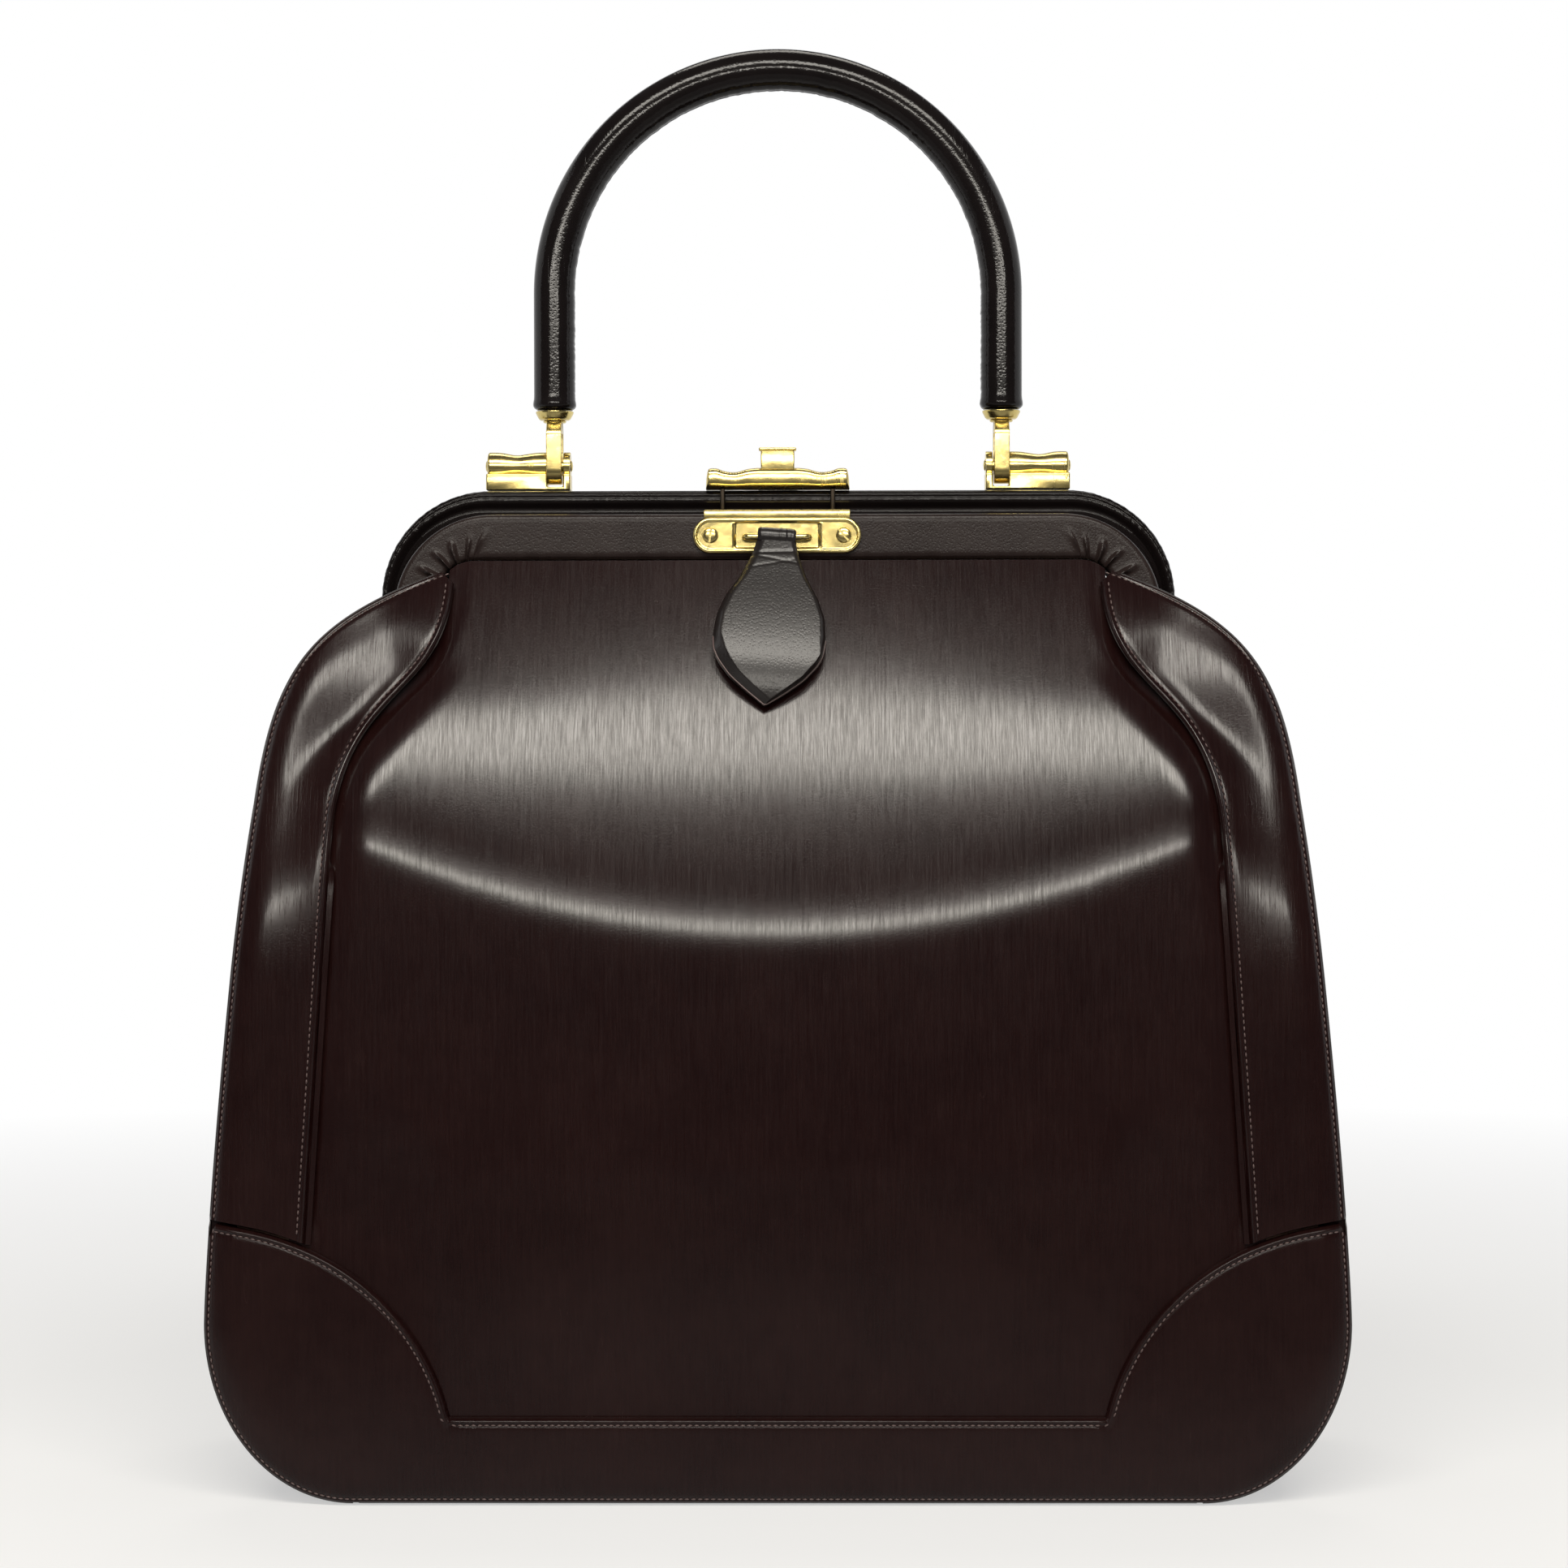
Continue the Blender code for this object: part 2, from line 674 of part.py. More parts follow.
def gusset_surface(u, v):
    """u runs from the front seam over the gusset to the back seam, and v from the base up."""
    point, inward = gusset_frame(v)
    reach = abs(2 * u - 1)
    inset = GUSSET_INSET * eased(point[1], 0, GUSSET_RISE)
    seam = half_depth(point[1]) + STRIP_PROUD - ROLL - LEATHER - GAP - LEATHER
    wall = seam - LEATHER
    if reach > GUSSET_FLANGE_SHARE:
        rim = (reach - GUSSET_FLANGE_SHARE) / (1 - GUSSET_FLANGE_SHARE)
        depth, across = wall + (seam - wall) * rim, inset * (1 - rim)
    else:
        depth = wall * reach / GUSSET_FLANGE_SHARE
        hollow = GUSSET_HOLLOW * eased(point[1], 0, GUSSET_RISE)
        across = inset + hollow * (1 - (reach / GUSSET_FLANGE_SHARE) ** 2)
    x, height = point + inward * across
    return (x, math.copysign(depth, u - 0.5), height)


def gusset_lining_surface(u, v):
    """The lining lies inside the gusset's wall, above the base board."""
    start = GUSSET_LINING_START_SHARE
    point, inward = gusset_frame(start + (1 - start) * v)
    reach = abs(2 * u - 1)
    inset = GUSSET_INSET * eased(point[1], 0, GUSSET_RISE)
    hollow = GUSSET_HOLLOW * eased(point[1], 0, GUSSET_RISE) * (1 - reach**2)
    x, height = point + inward * (inset + hollow + LEATHER + LINING_GAP)
    depth = (half_depth(point[1]) - GUSSET_INSET - LEATHER) * reach
    return (x, math.copysign(depth, u - 0.5), height)


# Pieces of the body


def make_panels():
    columns = [-TUCKED, *np.linspace(-1, 1, 11), TUCKED]
    rows = [-TUCKED, *np.linspace(0, 1, 10)]
    for side, flip in (("front", False), ("back", True)):
        shell(
            f"{side}_center_panel",
            center_panel_surface,
            columns,
            rows,
            LEATHER,
            "body_leather",
            flip_y=flip,
        )
        shell(
            f"{side}_bottom_band",
            bottom_band_surface,
            np.linspace(0, 1, 25),
            BAND_ROW_SHARES,
            LEATHER,
            "body_leather",
            flip_y=flip,
        )
        for hand, mirrored in (("right", False), ("left", True)):
            shell(
                f"{side}_side_strip_{hand}",
                side_strip_surface,
                STRIP_COLUMN_SHARES,
                np.linspace(0, STRIP_TOP_SHARE, 13),
                LEATHER,
                "body_leather",
                flip_x=mirrored,
                flip_y=flip,
            )
        shell(
            f"{side}_lining",
            lining_surface,
            np.linspace(-1, 1, 11),
            np.linspace(0, 1, 11),
            LINING,
            "lining_fabric",
            flip_y=flip,
        )


def make_gussets():
    for hand, mirrored in (("right", False), ("left", True)):
        shell(
            f"gusset_{hand}",
            gusset_surface,
            GUSSET_COLUMN_SHARES,
            np.linspace(0, 1, 15),
            LEATHER,
            "body_leather",
            flip_x=mirrored,
        )
        shell(
            f"gusset_lining_{hand}",
            gusset_lining_surface,
            np.linspace(0, 1, 5),
            np.linspace(0, 1, 12),
            LINING,
            "lining_fabric",
            flip_x=mirrored,
        )


def make_base():
    seam = half_depth(0) + STRIP_PROUD - ROLL - LEATHER - GAP
    half = BASE_WIDTH / 2 - BASE_END_GAP
    panel = box(
        "base_panel", (-half, -seam, 0), (half, seam, BASE_THICKNESS), "body_leather"
    )
    round_off(panel, BASE_EDGE)
    margin = BOARD_MARGIN
    low = BASE_THICKNESS + GAP
    board = box(
        "base_board",
        (-half + margin, -seam + margin, low),
        (half - margin, seam - margin, low + BOARD_THICKNESS),
        "base_board",
    )
    round_off(board, BASE_EDGE)


# Frames


def arch(half, top, corner, foot, lower_edge, leg, inner_corner):
    """Closed outline of an arch with two legs, seen from the front."""
    steps = CORNER_STEPS
    inner = half - leg
    outside = arc((-half + corner, top - corner), corner, 180, 90, steps)
    outside += arc((half - corner, top - corner), corner, 90, 0, steps)
    centre = (inner - inner_corner, lower_edge - inner_corner)
    inside = arc(centre, inner_corner, 0, 90, steps)
    inside += arc((-centre[0], centre[1]), inner_corner, 90, 180, steps)
    return [(-half, foot), *outside, (half, foot), (inner, foot), *inside, (-inner, foot)]


def frame_cavity(width, top, corner, inner_corner, leg, inset, foot, inner_inset):
    """Outline of the space inside the leather, or of the metal core when inset a little more."""
    return arch(
        width / 2 - inset,
        top - inset,
        corner - inset,
        foot,
        FRAME_LOWER_EDGE + inner_inset,
        leg - inset - inner_inset,
        inner_corner + inner_inset,
    )


def make_frame(side, width, top, corner, inner_corner, leg, near, far, edge, ear_x):
    """One leather-covered arch. near and far are its front and back, and ear_x its hinge ear's inner side."""
    wall = FRAME_LEATHER
    leather = plate(
        f"{side}_frame_leather",
        [arch(width / 2, top, corner, FRAME_FOOT, FRAME_LOWER_EDGE, leg, inner_corner)],
        near,
        far,
        "Y",
        "frame_leather",
    )
    round_off(leather, edge)
    hollow = frame_cavity(
        width, top, corner, inner_corner, leg, wall, FRAME_FOOT - OVERRUN, -OVERRUN
    )
    cut(
        leather,
        plate(f"{side}_frame_hollow", [hollow], near + wall, far - wall, "Y", "frame_leather"),
    )
    inset = wall + GAP
    metal = frame_cavity(width, top, corner, inner_corner, leg, inset, FRAME_FOOT, 2 * GAP)
    core = plate(
        f"{side}_frame_core", [metal], near + inset, far - inset, "Y", "frame_metal"
    )
    sign = -1 if side == "front" else 1
    back, front = sorted((near + 2 * inset, far - 2 * inset), key=abs, reverse=True)
    foot, reach = FRAME_FOOT, EAR_REACH
    centre = (0, HINGE_HEIGHT)
    ring = arc((0, 0), EAR_RADIUS, EAR_ARC_START, EAR_ARC_END, 2 * CORNER_STEPS)
    outline = [(abs(back), foot + reach), (abs(front), foot + reach)]
    outline += [(abs(front), HINGE_HEIGHT + EAR_RADIUS + GAP)]
    outline += [(-across, centre[1] + up) for across, up in ring]
    outline += [(abs(back), foot)]
    rim = [(sign * across, up) for across, up in outline]
    bore = arc(centre, PIN_RADIUS + FIT, 0, 360, SMALL_SIDES)[:-1]
    for hand in (-1, 1):
        low, high = sorted((hand * ear_x, hand * (ear_x + EAR_THICKNESS)))
        add(core, plate(f"{side}_ear_{hand}", [rim, bore], low, high, "X", "frame_metal"))
    return leather, core


def make_frames():
    split = FRAME_SPLIT / 2
    front_ear = FRONT_FRAME_WIDTH / 2 - FRONT_EAR_OFFSET - EAR_THICKNESS
    back_ear = front_ear + EAR_THICKNESS + EAR_GAP
    front = make_frame(
        "front",
        FRONT_FRAME_WIDTH,
        FRONT_FRAME_TOP,
        FRONT_FRAME_CORNER,
        FRONT_FRAME_INNER_CORNER,
        FRONT_FRAME_LEG,
        -FRAME_DEPTH / 2,
        -split,
        FRAME_EDGE,
        front_ear,
    )
    make_frame(
        "back",
        BACK_FRAME_WIDTH,
        BACK_FRAME_TOP,
        BACK_FRAME_CORNER,
        BACK_FRAME_INNER_CORNER,
        BACK_FRAME_LEG,
        split,
        FRAME_DEPTH / 2,
        BACK_FRAME_EDGE,
        back_ear,
    )
    head, shank = PIN_HEAD_RADIUS, PIN_RADIUS
    length = 2 * EAR_THICKNESS + EAR_GAP + 2 * GAP
    profile = [
        (0, length + PIN_HEAD),
        (head, length + PIN_HEAD),
        (head, length),
        (shank, length),
        (shank, 0),
        (head, 0),
        (head, -PIN_HEAD),
        (0, -PIN_HEAD),
    ]
    for hand, sign in (("left", -1), ("right", 1)):
        start = (sign * (front_ear - GAP), 0, HINGE_HEIGHT)
        turned(
            f"hinge_pin_{hand}", profile, start, (sign, 0, 0), "frame_metal", SMALL_SIDES
        )
    return front


# Handle


def make_handle():
    half = HANDLE_SPAN / 2
    bow = arc((0, HANDLE_CENTRE_HEIGHT), half, 180, 0, HANDLE_STEPS)
    path = [(x, PIVOT_Y, z) for x, z in [(-half, HANDLE_FOOT), *bow, (half, HANDLE_FOOT)]]
    leather = tube(
        "handle_leather", path, HANDLE_RADIUS, "handle_leather", HANDLE_SIDES, capped=False
    )
    wall = leather.modifiers.new("wall", "SOLIDIFY")
    wall.thickness = HANDLE_WALL
    wall.offset = -1
    foot = HANDLE_FOOT + GAP
    path = [(x, PIVOT_Y, z) for x, z in [(-half, foot), *bow, (half, foot)]]
    tube("handle_core", path, HANDLE_RADIUS - HANDLE_WALL - GAP, "frame_metal", HANDLE_SIDES)
    for hand, sign in (("left", -1), ("right", 1)):
        make_lug(hand, sign * half)


def make_lug(hand, x):
    top = HANDLE_FOOT - GAP
    low = top - FERRULE_HEIGHT
    bore = STEM_RADIUS + FIT
    ring = [(bore, top), (FERRULE_RADIUS, top), (FERRULE_RADIUS, low), (bore, low)]
    turned(f"ferrule_{hand}", ring, (x, PIVOT_Y, 0), (0, 0, 1), "gold", closed=True)
    centre = (PIVOT_Y, PIVOT_HEIGHT)
    shoulder = PIVOT_HEIGHT + LUG_SHOULDER
    eye = arc(centre, LUG_RADIUS, 180, 360, 2 * CORNER_STEPS)
    narrow = LUG_NECK_RADIUS
    rim = [*eye, (PIVOT_Y + LUG_RADIUS, shoulder), (PIVOT_Y + narrow, shoulder + narrow)]
    rim += [(PIVOT_Y - narrow, shoulder + narrow), (PIVOT_Y - LUG_RADIUS, shoulder)]
    hole = arc(centre, PIN_RADIUS + FIT, 0, 360, SMALL_SIDES)[:-1]
    half = LUG_THICKNESS / 2
    lug = plate(f"handle_lug_{hand}", [rim, hole], x - half, x + half, "X", "gold")
    collar = low - GAP
    neck = [
        (0, top),
        (STEM_RADIUS, top),
        (STEM_RADIUS, collar),
        (LUG_COLLAR_RADIUS, collar),
        (LUG_COLLAR_RADIUS, collar - LUG_COLLAR / 2),
        (narrow, collar - LUG_COLLAR),
        (narrow, shoulder - narrow),
        (0, shoulder - narrow),
    ]
    add(lug, turned(f"lug_neck_{hand}", neck, (x, PIVOT_Y, 0), (0, 0, 1), "gold", SMALL_SIDES))


def make_brackets():
    floor = BACK_FRAME_TOP + GAP
    slot = LUG_THICKNESS + 2 * FIT
    inner = HANDLE_SPAN / 2 - slot / 2 - BRACKET_EAR
    outer = inner + BRACKET_LENGTH
    half_depth_here = BRACKET_DEPTH / 2
    for hand, sign in (("left", -1), ("right", 1)):

        def span(first, second):
            return sorted((sign * first, sign * second))

        low, high = span(inner, outer)
        bracket = box(
            f"bracket_{hand}",
            (low, PIVOT_Y - half_depth_here, floor),
            (high, PIVOT_Y + half_depth_here, floor + BRACKET_BLOCK),
            "gold",
        )
        round_off(bracket, BRACKET_EDGE, segments=1)
        start = inner + BRACKET_EAR + slot
        length = outer - start - BRACKET_EDGE
        high, waist, low = (length * share for share in BARREL_SHARES)
        barrel = [
            (0, length),
            (BARREL_RADIUS - 2 * BRACKET_EDGE, length),
            (BARREL_RADIUS, length - BRACKET_EDGE),
            (BARREL_RADIUS, high),
            (BARREL_DIP_RADIUS, waist),
            (BARREL_RADIUS, low),
            (BARREL_RADIUS, 0),
            (0, 0),
        ]
        root = (sign * start, PIVOT_Y, PIVOT_HEIGHT)
        add(bracket, turned(f"barrel_{hand}", barrel, root, (sign, 0, 0), "gold"))
        ear = BARREL_RADIUS
        low, high = span(inner + FIT, inner + BRACKET_EAR)
        rim = arc((PIVOT_Y, PIVOT_HEIGHT), ear, 0, 180, 2 * CORNER_STEPS)
        rim += [(PIVOT_Y - ear, floor + SLOT_FLOOR), (PIVOT_Y + ear, floor + SLOT_FLOOR)]
        add(bracket, plate(f"bracket_ear_{hand}", [rim], low, high, "X", "gold"))
        low, high = span(inner + BRACKET_EAR, start)
        slot_box = box(
            f"lug_slot_{hand}",
            (low, PIVOT_Y - half_depth_here - OVERRUN, floor + SLOT_FLOOR),
            (high, PIVOT_Y + half_depth_here + OVERRUN, PIVOT_HEIGHT + 2 * OVERRUN),
            "gold",
        )
        low, high = span(inner - OVERRUN, outer + OVERRUN)
        axis = (PIVOT_Y, PIVOT_HEIGHT)
        bore = rod(
            f"pin_bore_{hand}", PIN_RADIUS + FIT, (low, *axis), (high, *axis), "gold", SMALL_SIDES
        )
        cut(bracket, slot_box, bore)
        low, high = span(inner, outer)
        rod(f"bracket_pin_{hand}", PIN_RADIUS, (low, *axis), (high, *axis), "gold", SMALL_SIDES)


# Catch plate, screws, bar and pull tab on the front frame


def make_catch(frame_leather, frame_core):
    face = -FRAME_DEPTH / 2 - GAP
    front = face - PLATE_THICKNESS
    centre = PLATE_CENTRE_HEIGHT
    radius = PLATE_HEIGHT / 2
    straight = PLATE_LENGTH / 2 - radius
    rim = arc((straight, centre), radius, -90, 90, CORNER_STEPS)
    rim += arc((-straight, centre), radius, 90, 270, CORNER_STEPS)
    screw_x = SCREW_SPACING / 2
    catch = plate("catch_plate", [rim], front, face, "Y", "gold")
    flange_top = FRONT_FRAME_TOP + GAP + FLANGE_THICKNESS
    reach = FLANGE_LENGTH / 2
    outer, inner = front + FLANGE_STEP, face - FLANGE_STEP
    lip = [
        (outer, centre + radius / 2),
        (inner, centre + radius / 2),
        (inner, FRONT_FRAME_TOP + GAP),
        (-FRAME_SPLIT / 2 - FLANGE_SETBACK, FRONT_FRAME_TOP + GAP),
        (-FRAME_SPLIT / 2 - FLANGE_SETBACK, flange_top),
        (outer, flange_top),
    ]
    flange = plate("catch_flange", [lip], -reach, reach, "X", "gold")
    recess = box(
        "plate_recess",
        (-PLATE_RECESS_WIDTH / 2, front - OVERRUN, centre - PLATE_RECESS_HEIGHT / 2),
        (PLATE_RECESS_WIDTH / 2, front + PLATE_RECESS_DEPTH, centre + PLATE_RECESS_HEIGHT / 2),
        "gold",
    )
    add(catch, flange)
    cut(catch, recess)
    for hand, x in (("left", -screw_x), ("right", screw_x)):
        make_screw(hand, x, front, (catch, frame_leather, frame_core))
    make_bar(front)


def make_screw(hand, x, front, held):
    head = front - GAP
    profile = [
        (0, SCREW_HEAD),
        (SCREW_HEAD_RADIUS / 2, SCREW_HEAD),
        (SCREW_HEAD_RADIUS, SCREW_HEAD / 2),
        (SCREW_HEAD_RADIUS, 0),
        (SCREW_SHANK_RADIUS, 0),
        (SCREW_SHANK_RADIUS, -SCREW_LENGTH),
        (0, -SCREW_LENGTH),
    ]
    place = (x, head, PLATE_CENTRE_HEIGHT)
    screw = turned(f"plate_screw_{hand}", profile, place, (0, -1, 0), "gold", SMALL_SIDES)
    half, reach = SCREW_SLOT_WIDTH / 2, SCREW_HEAD_RADIUS + OVERRUN
    outer = head - SCREW_HEAD
    slot = box(
        f"screw_slot_{hand}",
        (x - half, outer - OVERRUN, PLATE_CENTRE_HEIGHT - reach),
        (x + half, outer + SCREW_SLOT_DEPTH, PLATE_CENTRE_HEIGHT + reach),
        "gold",
    )
    cut(screw, slot)
    end = head + SCREW_LENGTH + GAP
    for obj in held:
        start = (x, head - OVERRUN, PLATE_CENTRE_HEIGHT)
        hole = rod(
            f"screw_hole_{hand}_{obj.name}",
            SCREW_SHANK_RADIUS + FIT,
            start,
            (x, end, PLATE_CENTRE_HEIGHT),
            "gold",
            SMALL_SIDES,
        )
        cut(obj, hole)


def make_bar(front):
    """A staple on the catch plate, with its two feet in the plate's recess."""
    half = BAR_LENGTH / 2
    seat = front + PLATE_RECESS_DEPTH - GAP
    centre = PLATE_CENTRE_HEIGHT
    bend = BAR_BEND
    right = arc((half - bend, BAR_Y + bend), bend, -90, 0, CORNER_STEPS // 2)
    left = [(-x, y) for x, y in reversed(right)]
    path = [(-half, seat), *left, *right, (half, seat)]
    tube("tab_bar", [(x, y, centre) for x, y in path], BAR_RADIUS, "gold", BAR_SIDES)


def tab_half_width(share):
    """Half-width of the pull tab at this share of its length: a short strap, then a kite."""
    return TAB_WIDTH / 2 * float(np.interp(share, TAB_LENGTH_SHARES, TAB_WIDTH_SHARES))


def make_pull_tab():
    """A padded kite of leather on a loop that turns on the bar, lying along the sloping panel."""
    bm = bmesh.new()
    columns, rows = 6, 16
    bmesh.ops.create_grid(bm, x_segments=columns, y_segments=rows, size=0.5)
    start = TAB_LOOP_RADIUS / 2

    def place(vertex, back):
        share = vertex.co.y + 0.5
        across = 2 * vertex.co.x
        x = across * tab_half_width(share)
        body = eased(share, TAB_STRAP_SHARE, 2 * TAB_STRAP_SHARE)
        body *= min((1 - share) / TAB_POINT_SHARE, 1) ** 0.5 if share < 1 else 0
        swell = TAB_STRAP_THICKNESS + (TAB_THICKNESS - TAB_STRAP_THICKNESS) * body
        edge = 1 - TAB_EDGE_SHARE * abs(across) ** 3
        rest = TAB_LOOP_RADIUS - TAB_STRAP_THICKNESS
        y = rest if back else rest - swell * edge
        return Vector((x, y, -start - share * (TAB_LENGTH - start)))

    places = {vertex: (place(vertex, False), place(vertex, True)) for vertex in bm.verts}
    front_face = list(bm.verts)
    made = bmesh.ops.extrude_face_region(bm, geom=list(bm.faces))
    added = [item for item in made["geom"] if isinstance(item, bmesh.types.BMVert)]
    for vertex in added:
        source = min(front_face, key=lambda other: (other.co - vertex.co).length)
        vertex.co = places[source][1]
    for vertex in front_face:
        vertex.co = places[vertex][0]
    bmesh.ops.remove_doubles(bm, verts=bm.verts, dist=MERGE)
    bmesh.ops.recalc_face_normals(bm, faces=bm.faces)
    tab = add_piece("pull_tab", mesh_from(bm, "pull_tab"), "handle_leather")
    half = TAB_LOOP_LENGTH / 2
    loop = rod("tab_loop", TAB_LOOP_RADIUS, (-half, 0, 0), (half, 0, 0), "handle_leather")
    reach = half + OVERRUN
    bore = rod("tab_bore", TAB_BORE_RADIUS, (-reach, 0, 0), (reach, 0, 0), "gold", SMALL_SIDES)
    for obj in (tab, loop, bore):
        obj.location = (0, BAR_Y, PLATE_CENTRE_HEIGHT)
        obj.rotation_euler = (-TAB_SLOPE, TAB_LEAN, 0)
    add(tab, loop)
    cut(tab, bore)


# Clasp


def make_clasp():
    floor = BACK_FRAME_TOP + GAP
    bottom = floor + GAP
    top = bottom + CLASP_HEIGHT
    half = CLASP_LENGTH / 2
    near = FRAME_SPLIT / 2 - CLASP_OVERHANG
    far = near + CLASP_DEPTH
    shares = zip(CLASP_LENGTH_SHARES, CLASP_DIP_SHARES)
    right = [(half * share, top - CLASP_DIP * drop) for share, drop in shares]
    right += [(half, bottom + CLASP_DIP), (half * CLASP_FOOT_SHARE, bottom)]
    rim = [(-x, z) for x, z in right] + [(x, z) for x, z in reversed(right)]
    lever = plate("clasp_lever", [rim], near, far, "Y", "gold")
    round_off(lever, CLASP_EDGE, CLASP_EDGE_ANGLE)
    thumb_top = top + THUMB_HEIGHT
    stem, low = THUMB_WIDTH / 2, (top + bottom) / 2
    stem_near = near + CLASP_EDGE
    stem_far = stem_near + THUMB_DEPTH
    lip = THUMB_RIM / 2
    rim_low = thumb_top - THUMB_RIM
    add(
        lever,
        box("thumb_stem", (-stem, stem_near, low), (stem, stem_far, rim_low + lip), "gold"),
        box(
            "thumb_rim",
            (-stem - lip, stem_near - lip, rim_low),
            (stem + lip, stem_far + lip, thumb_top),
            "gold",
        ),
    )
    prong_foot = FRONT_FRAME_TOP + GAP + FLANGE_THICKNESS + PRONG_GAP
    for hand in (-1, 1):
        x = hand * PRONG_OFFSET
        prong = box(
            f"prong_{hand}",
            (x - PRONG_WIDTH / 2, near + GAP, prong_foot),
            (x + PRONG_WIDTH / 2, near + PRONG_DEPTH, low),
            "gold",
        )
        add(lever, prong)
    axis_y = far + KNUCKLE_SETBACK
    axis_z = floor + KNUCKLE_RADIUS + GAP
    knuckle = KNUCKLE_WIDTH / 2
    for hand in (-1, 1):
        low_x, high_x = sorted((hand * (knuckle + GAP), hand * (knuckle + GAP + LEVER_EAR)))
        eye = arc((axis_y, axis_z), KNUCKLE_RADIUS, -90, 90, CORNER_STEPS)
        arm = [(far - CLASP_EDGE * 2, axis_z - KNUCKLE_RADIUS + GAP / 2), *eye[1:]]
        arm += [(far - CLASP_EDGE * 2, axis_z + KNUCKLE_RADIUS)]
        add(lever, plate(f"lever_ear_{hand}", [arm], low_x, high_x, "X", "gold"))
    reach = knuckle + LEVER_EAR + GAP
    ends = ((-reach, axis_y, axis_z), (reach, axis_y, axis_z))
    far_ends = ((-reach - OVERRUN, axis_y, axis_z), (reach + OVERRUN, axis_y, axis_z))
    hole = CLASP_PIN_RADIUS + FIT
    cut(lever, rod("lever_bore", hole, *far_ends, "gold", SMALL_SIDES))
    foot = KNUCKLE_FOOT
    block = arc((axis_y, axis_z), KNUCKLE_RADIUS, 0, 180, CORNER_STEPS)
    block += [(axis_y - foot, floor), (axis_y + foot, floor)]
    hinge = plate("clasp_hinge_base", [block], -knuckle, knuckle, "X", "gold")
    cut(hinge, rod("base_bore", hole, *far_ends, "gold", SMALL_SIDES))
    rod("clasp_hinge_pin", CLASP_PIN_RADIUS, *ends, "gold", SMALL_SIDES)


clear_scene()
PIECES = new_collection("handbag")
HELPERS = new_collection("cutters")
make_looks()
OUTLINE = body_outline()
PANEL_EDGE = panel_edge()
PATCH_EDGE = patch_edge()
make_panels()
make_gussets()
make_base()
front_frame_leather, front_frame_core = make_frames()
make_handle()
make_brackets()
make_catch(front_frame_leather, front_frame_core)
make_pull_tab()
make_clasp()
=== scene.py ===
# %% [markdown]
# # A frame handbag with one stiff handle
#
# The bag is a stiff leather box that narrows to a mouth. Two leather-covered metal arches close
# the mouth: the back one carries the handle and the clasp, and the front one swings forward to
# open the bag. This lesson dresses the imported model: each leather sheet, stitch row and gold
# fitting is made again at full detail, in the place that the model gives it.
#
# Lengths are in metres. +Z is up, the front faces -Y, and the bag stands on the origin.

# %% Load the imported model
import math

import bmesh
import bpy
import numpy as np
from mathutils import Matrix, Vector
from mathutils.geometry import interpolate_bezier


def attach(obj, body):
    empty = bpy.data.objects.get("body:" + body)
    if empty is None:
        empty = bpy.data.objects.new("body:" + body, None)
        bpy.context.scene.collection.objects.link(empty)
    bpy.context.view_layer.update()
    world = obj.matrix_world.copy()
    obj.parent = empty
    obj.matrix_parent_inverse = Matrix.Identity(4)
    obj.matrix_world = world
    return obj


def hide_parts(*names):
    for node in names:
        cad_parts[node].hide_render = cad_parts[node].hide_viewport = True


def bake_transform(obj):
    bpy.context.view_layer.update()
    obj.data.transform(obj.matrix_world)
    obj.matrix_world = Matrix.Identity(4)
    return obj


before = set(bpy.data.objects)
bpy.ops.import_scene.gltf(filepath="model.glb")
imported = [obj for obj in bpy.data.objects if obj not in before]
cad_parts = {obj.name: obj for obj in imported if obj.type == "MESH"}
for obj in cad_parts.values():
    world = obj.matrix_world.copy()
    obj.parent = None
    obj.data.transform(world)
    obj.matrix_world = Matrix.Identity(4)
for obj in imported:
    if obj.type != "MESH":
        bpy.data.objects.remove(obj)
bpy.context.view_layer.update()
MM = 0.001
SIDES = (("front", -1), ("back", 1))
HANDS = (("left", -1), ("right", 1))

# %% [markdown]
# ## Measures of the body
#
# A leather bag is drawn flat first, so its shape is a few flat curves: the outline of the front,
# the edge between the centre panel and the side strips, and the upper edge of the bottom band. A
# depth for each height then turns them into a box. The same curves also place the stitches, which
# is why they come before any mesh.

# %% The flat curves
MOUTH = 232.2 * MM
SEAM_LIFT = 0.5 * MM
BELLY = np.array([140.1, 44.0]) * MM
BASE_HALF = 104 * MM
SHOULDER = np.array([128.6, 172.0]) * MM
SHOULDER_CORNER = np.array([124.8, 214.0]) * MM
TIP = np.array([82.6, 229.9]) * MM
PANEL_BASE = np.array([119.6, 0.0]) * MM
PANEL_WAIST = np.array([108.4, 165.0]) * MM
PANEL_TOP = np.array([81.0, 228.0]) * MM
BAND_HEIGHT = 22.0 * MM
BAND_HALF = 80 * MM
PATCH_HEIGHT = 69.2 * MM


def points_of(*columns):
    """Points out of their coordinates. A single number counts for all of them."""
    return np.stack(np.broadcast_arrays(*columns), axis=-1)


def curve(start, start_handle, end_handle, end, count=60):
    """A Bezier curve between two flat points, as an array of points."""
    knots = [Vector((*point, 0)) for point in (start, start_handle, end_handle, end)]
    return np.array([point[:2] for point in interpolate_bezier(*knots, count)])


def run_of(points):
    """How far along a line each of its points lies."""
    return np.concatenate([[0], np.cumsum(np.linalg.norm(np.diff(points, axis=0), axis=1))])


def along(points, share):
    """The places at these shares of a line's length."""
    run = run_of(points)
    return points_of(*(np.interp(share, run / run[-1], column) for column in points.T))


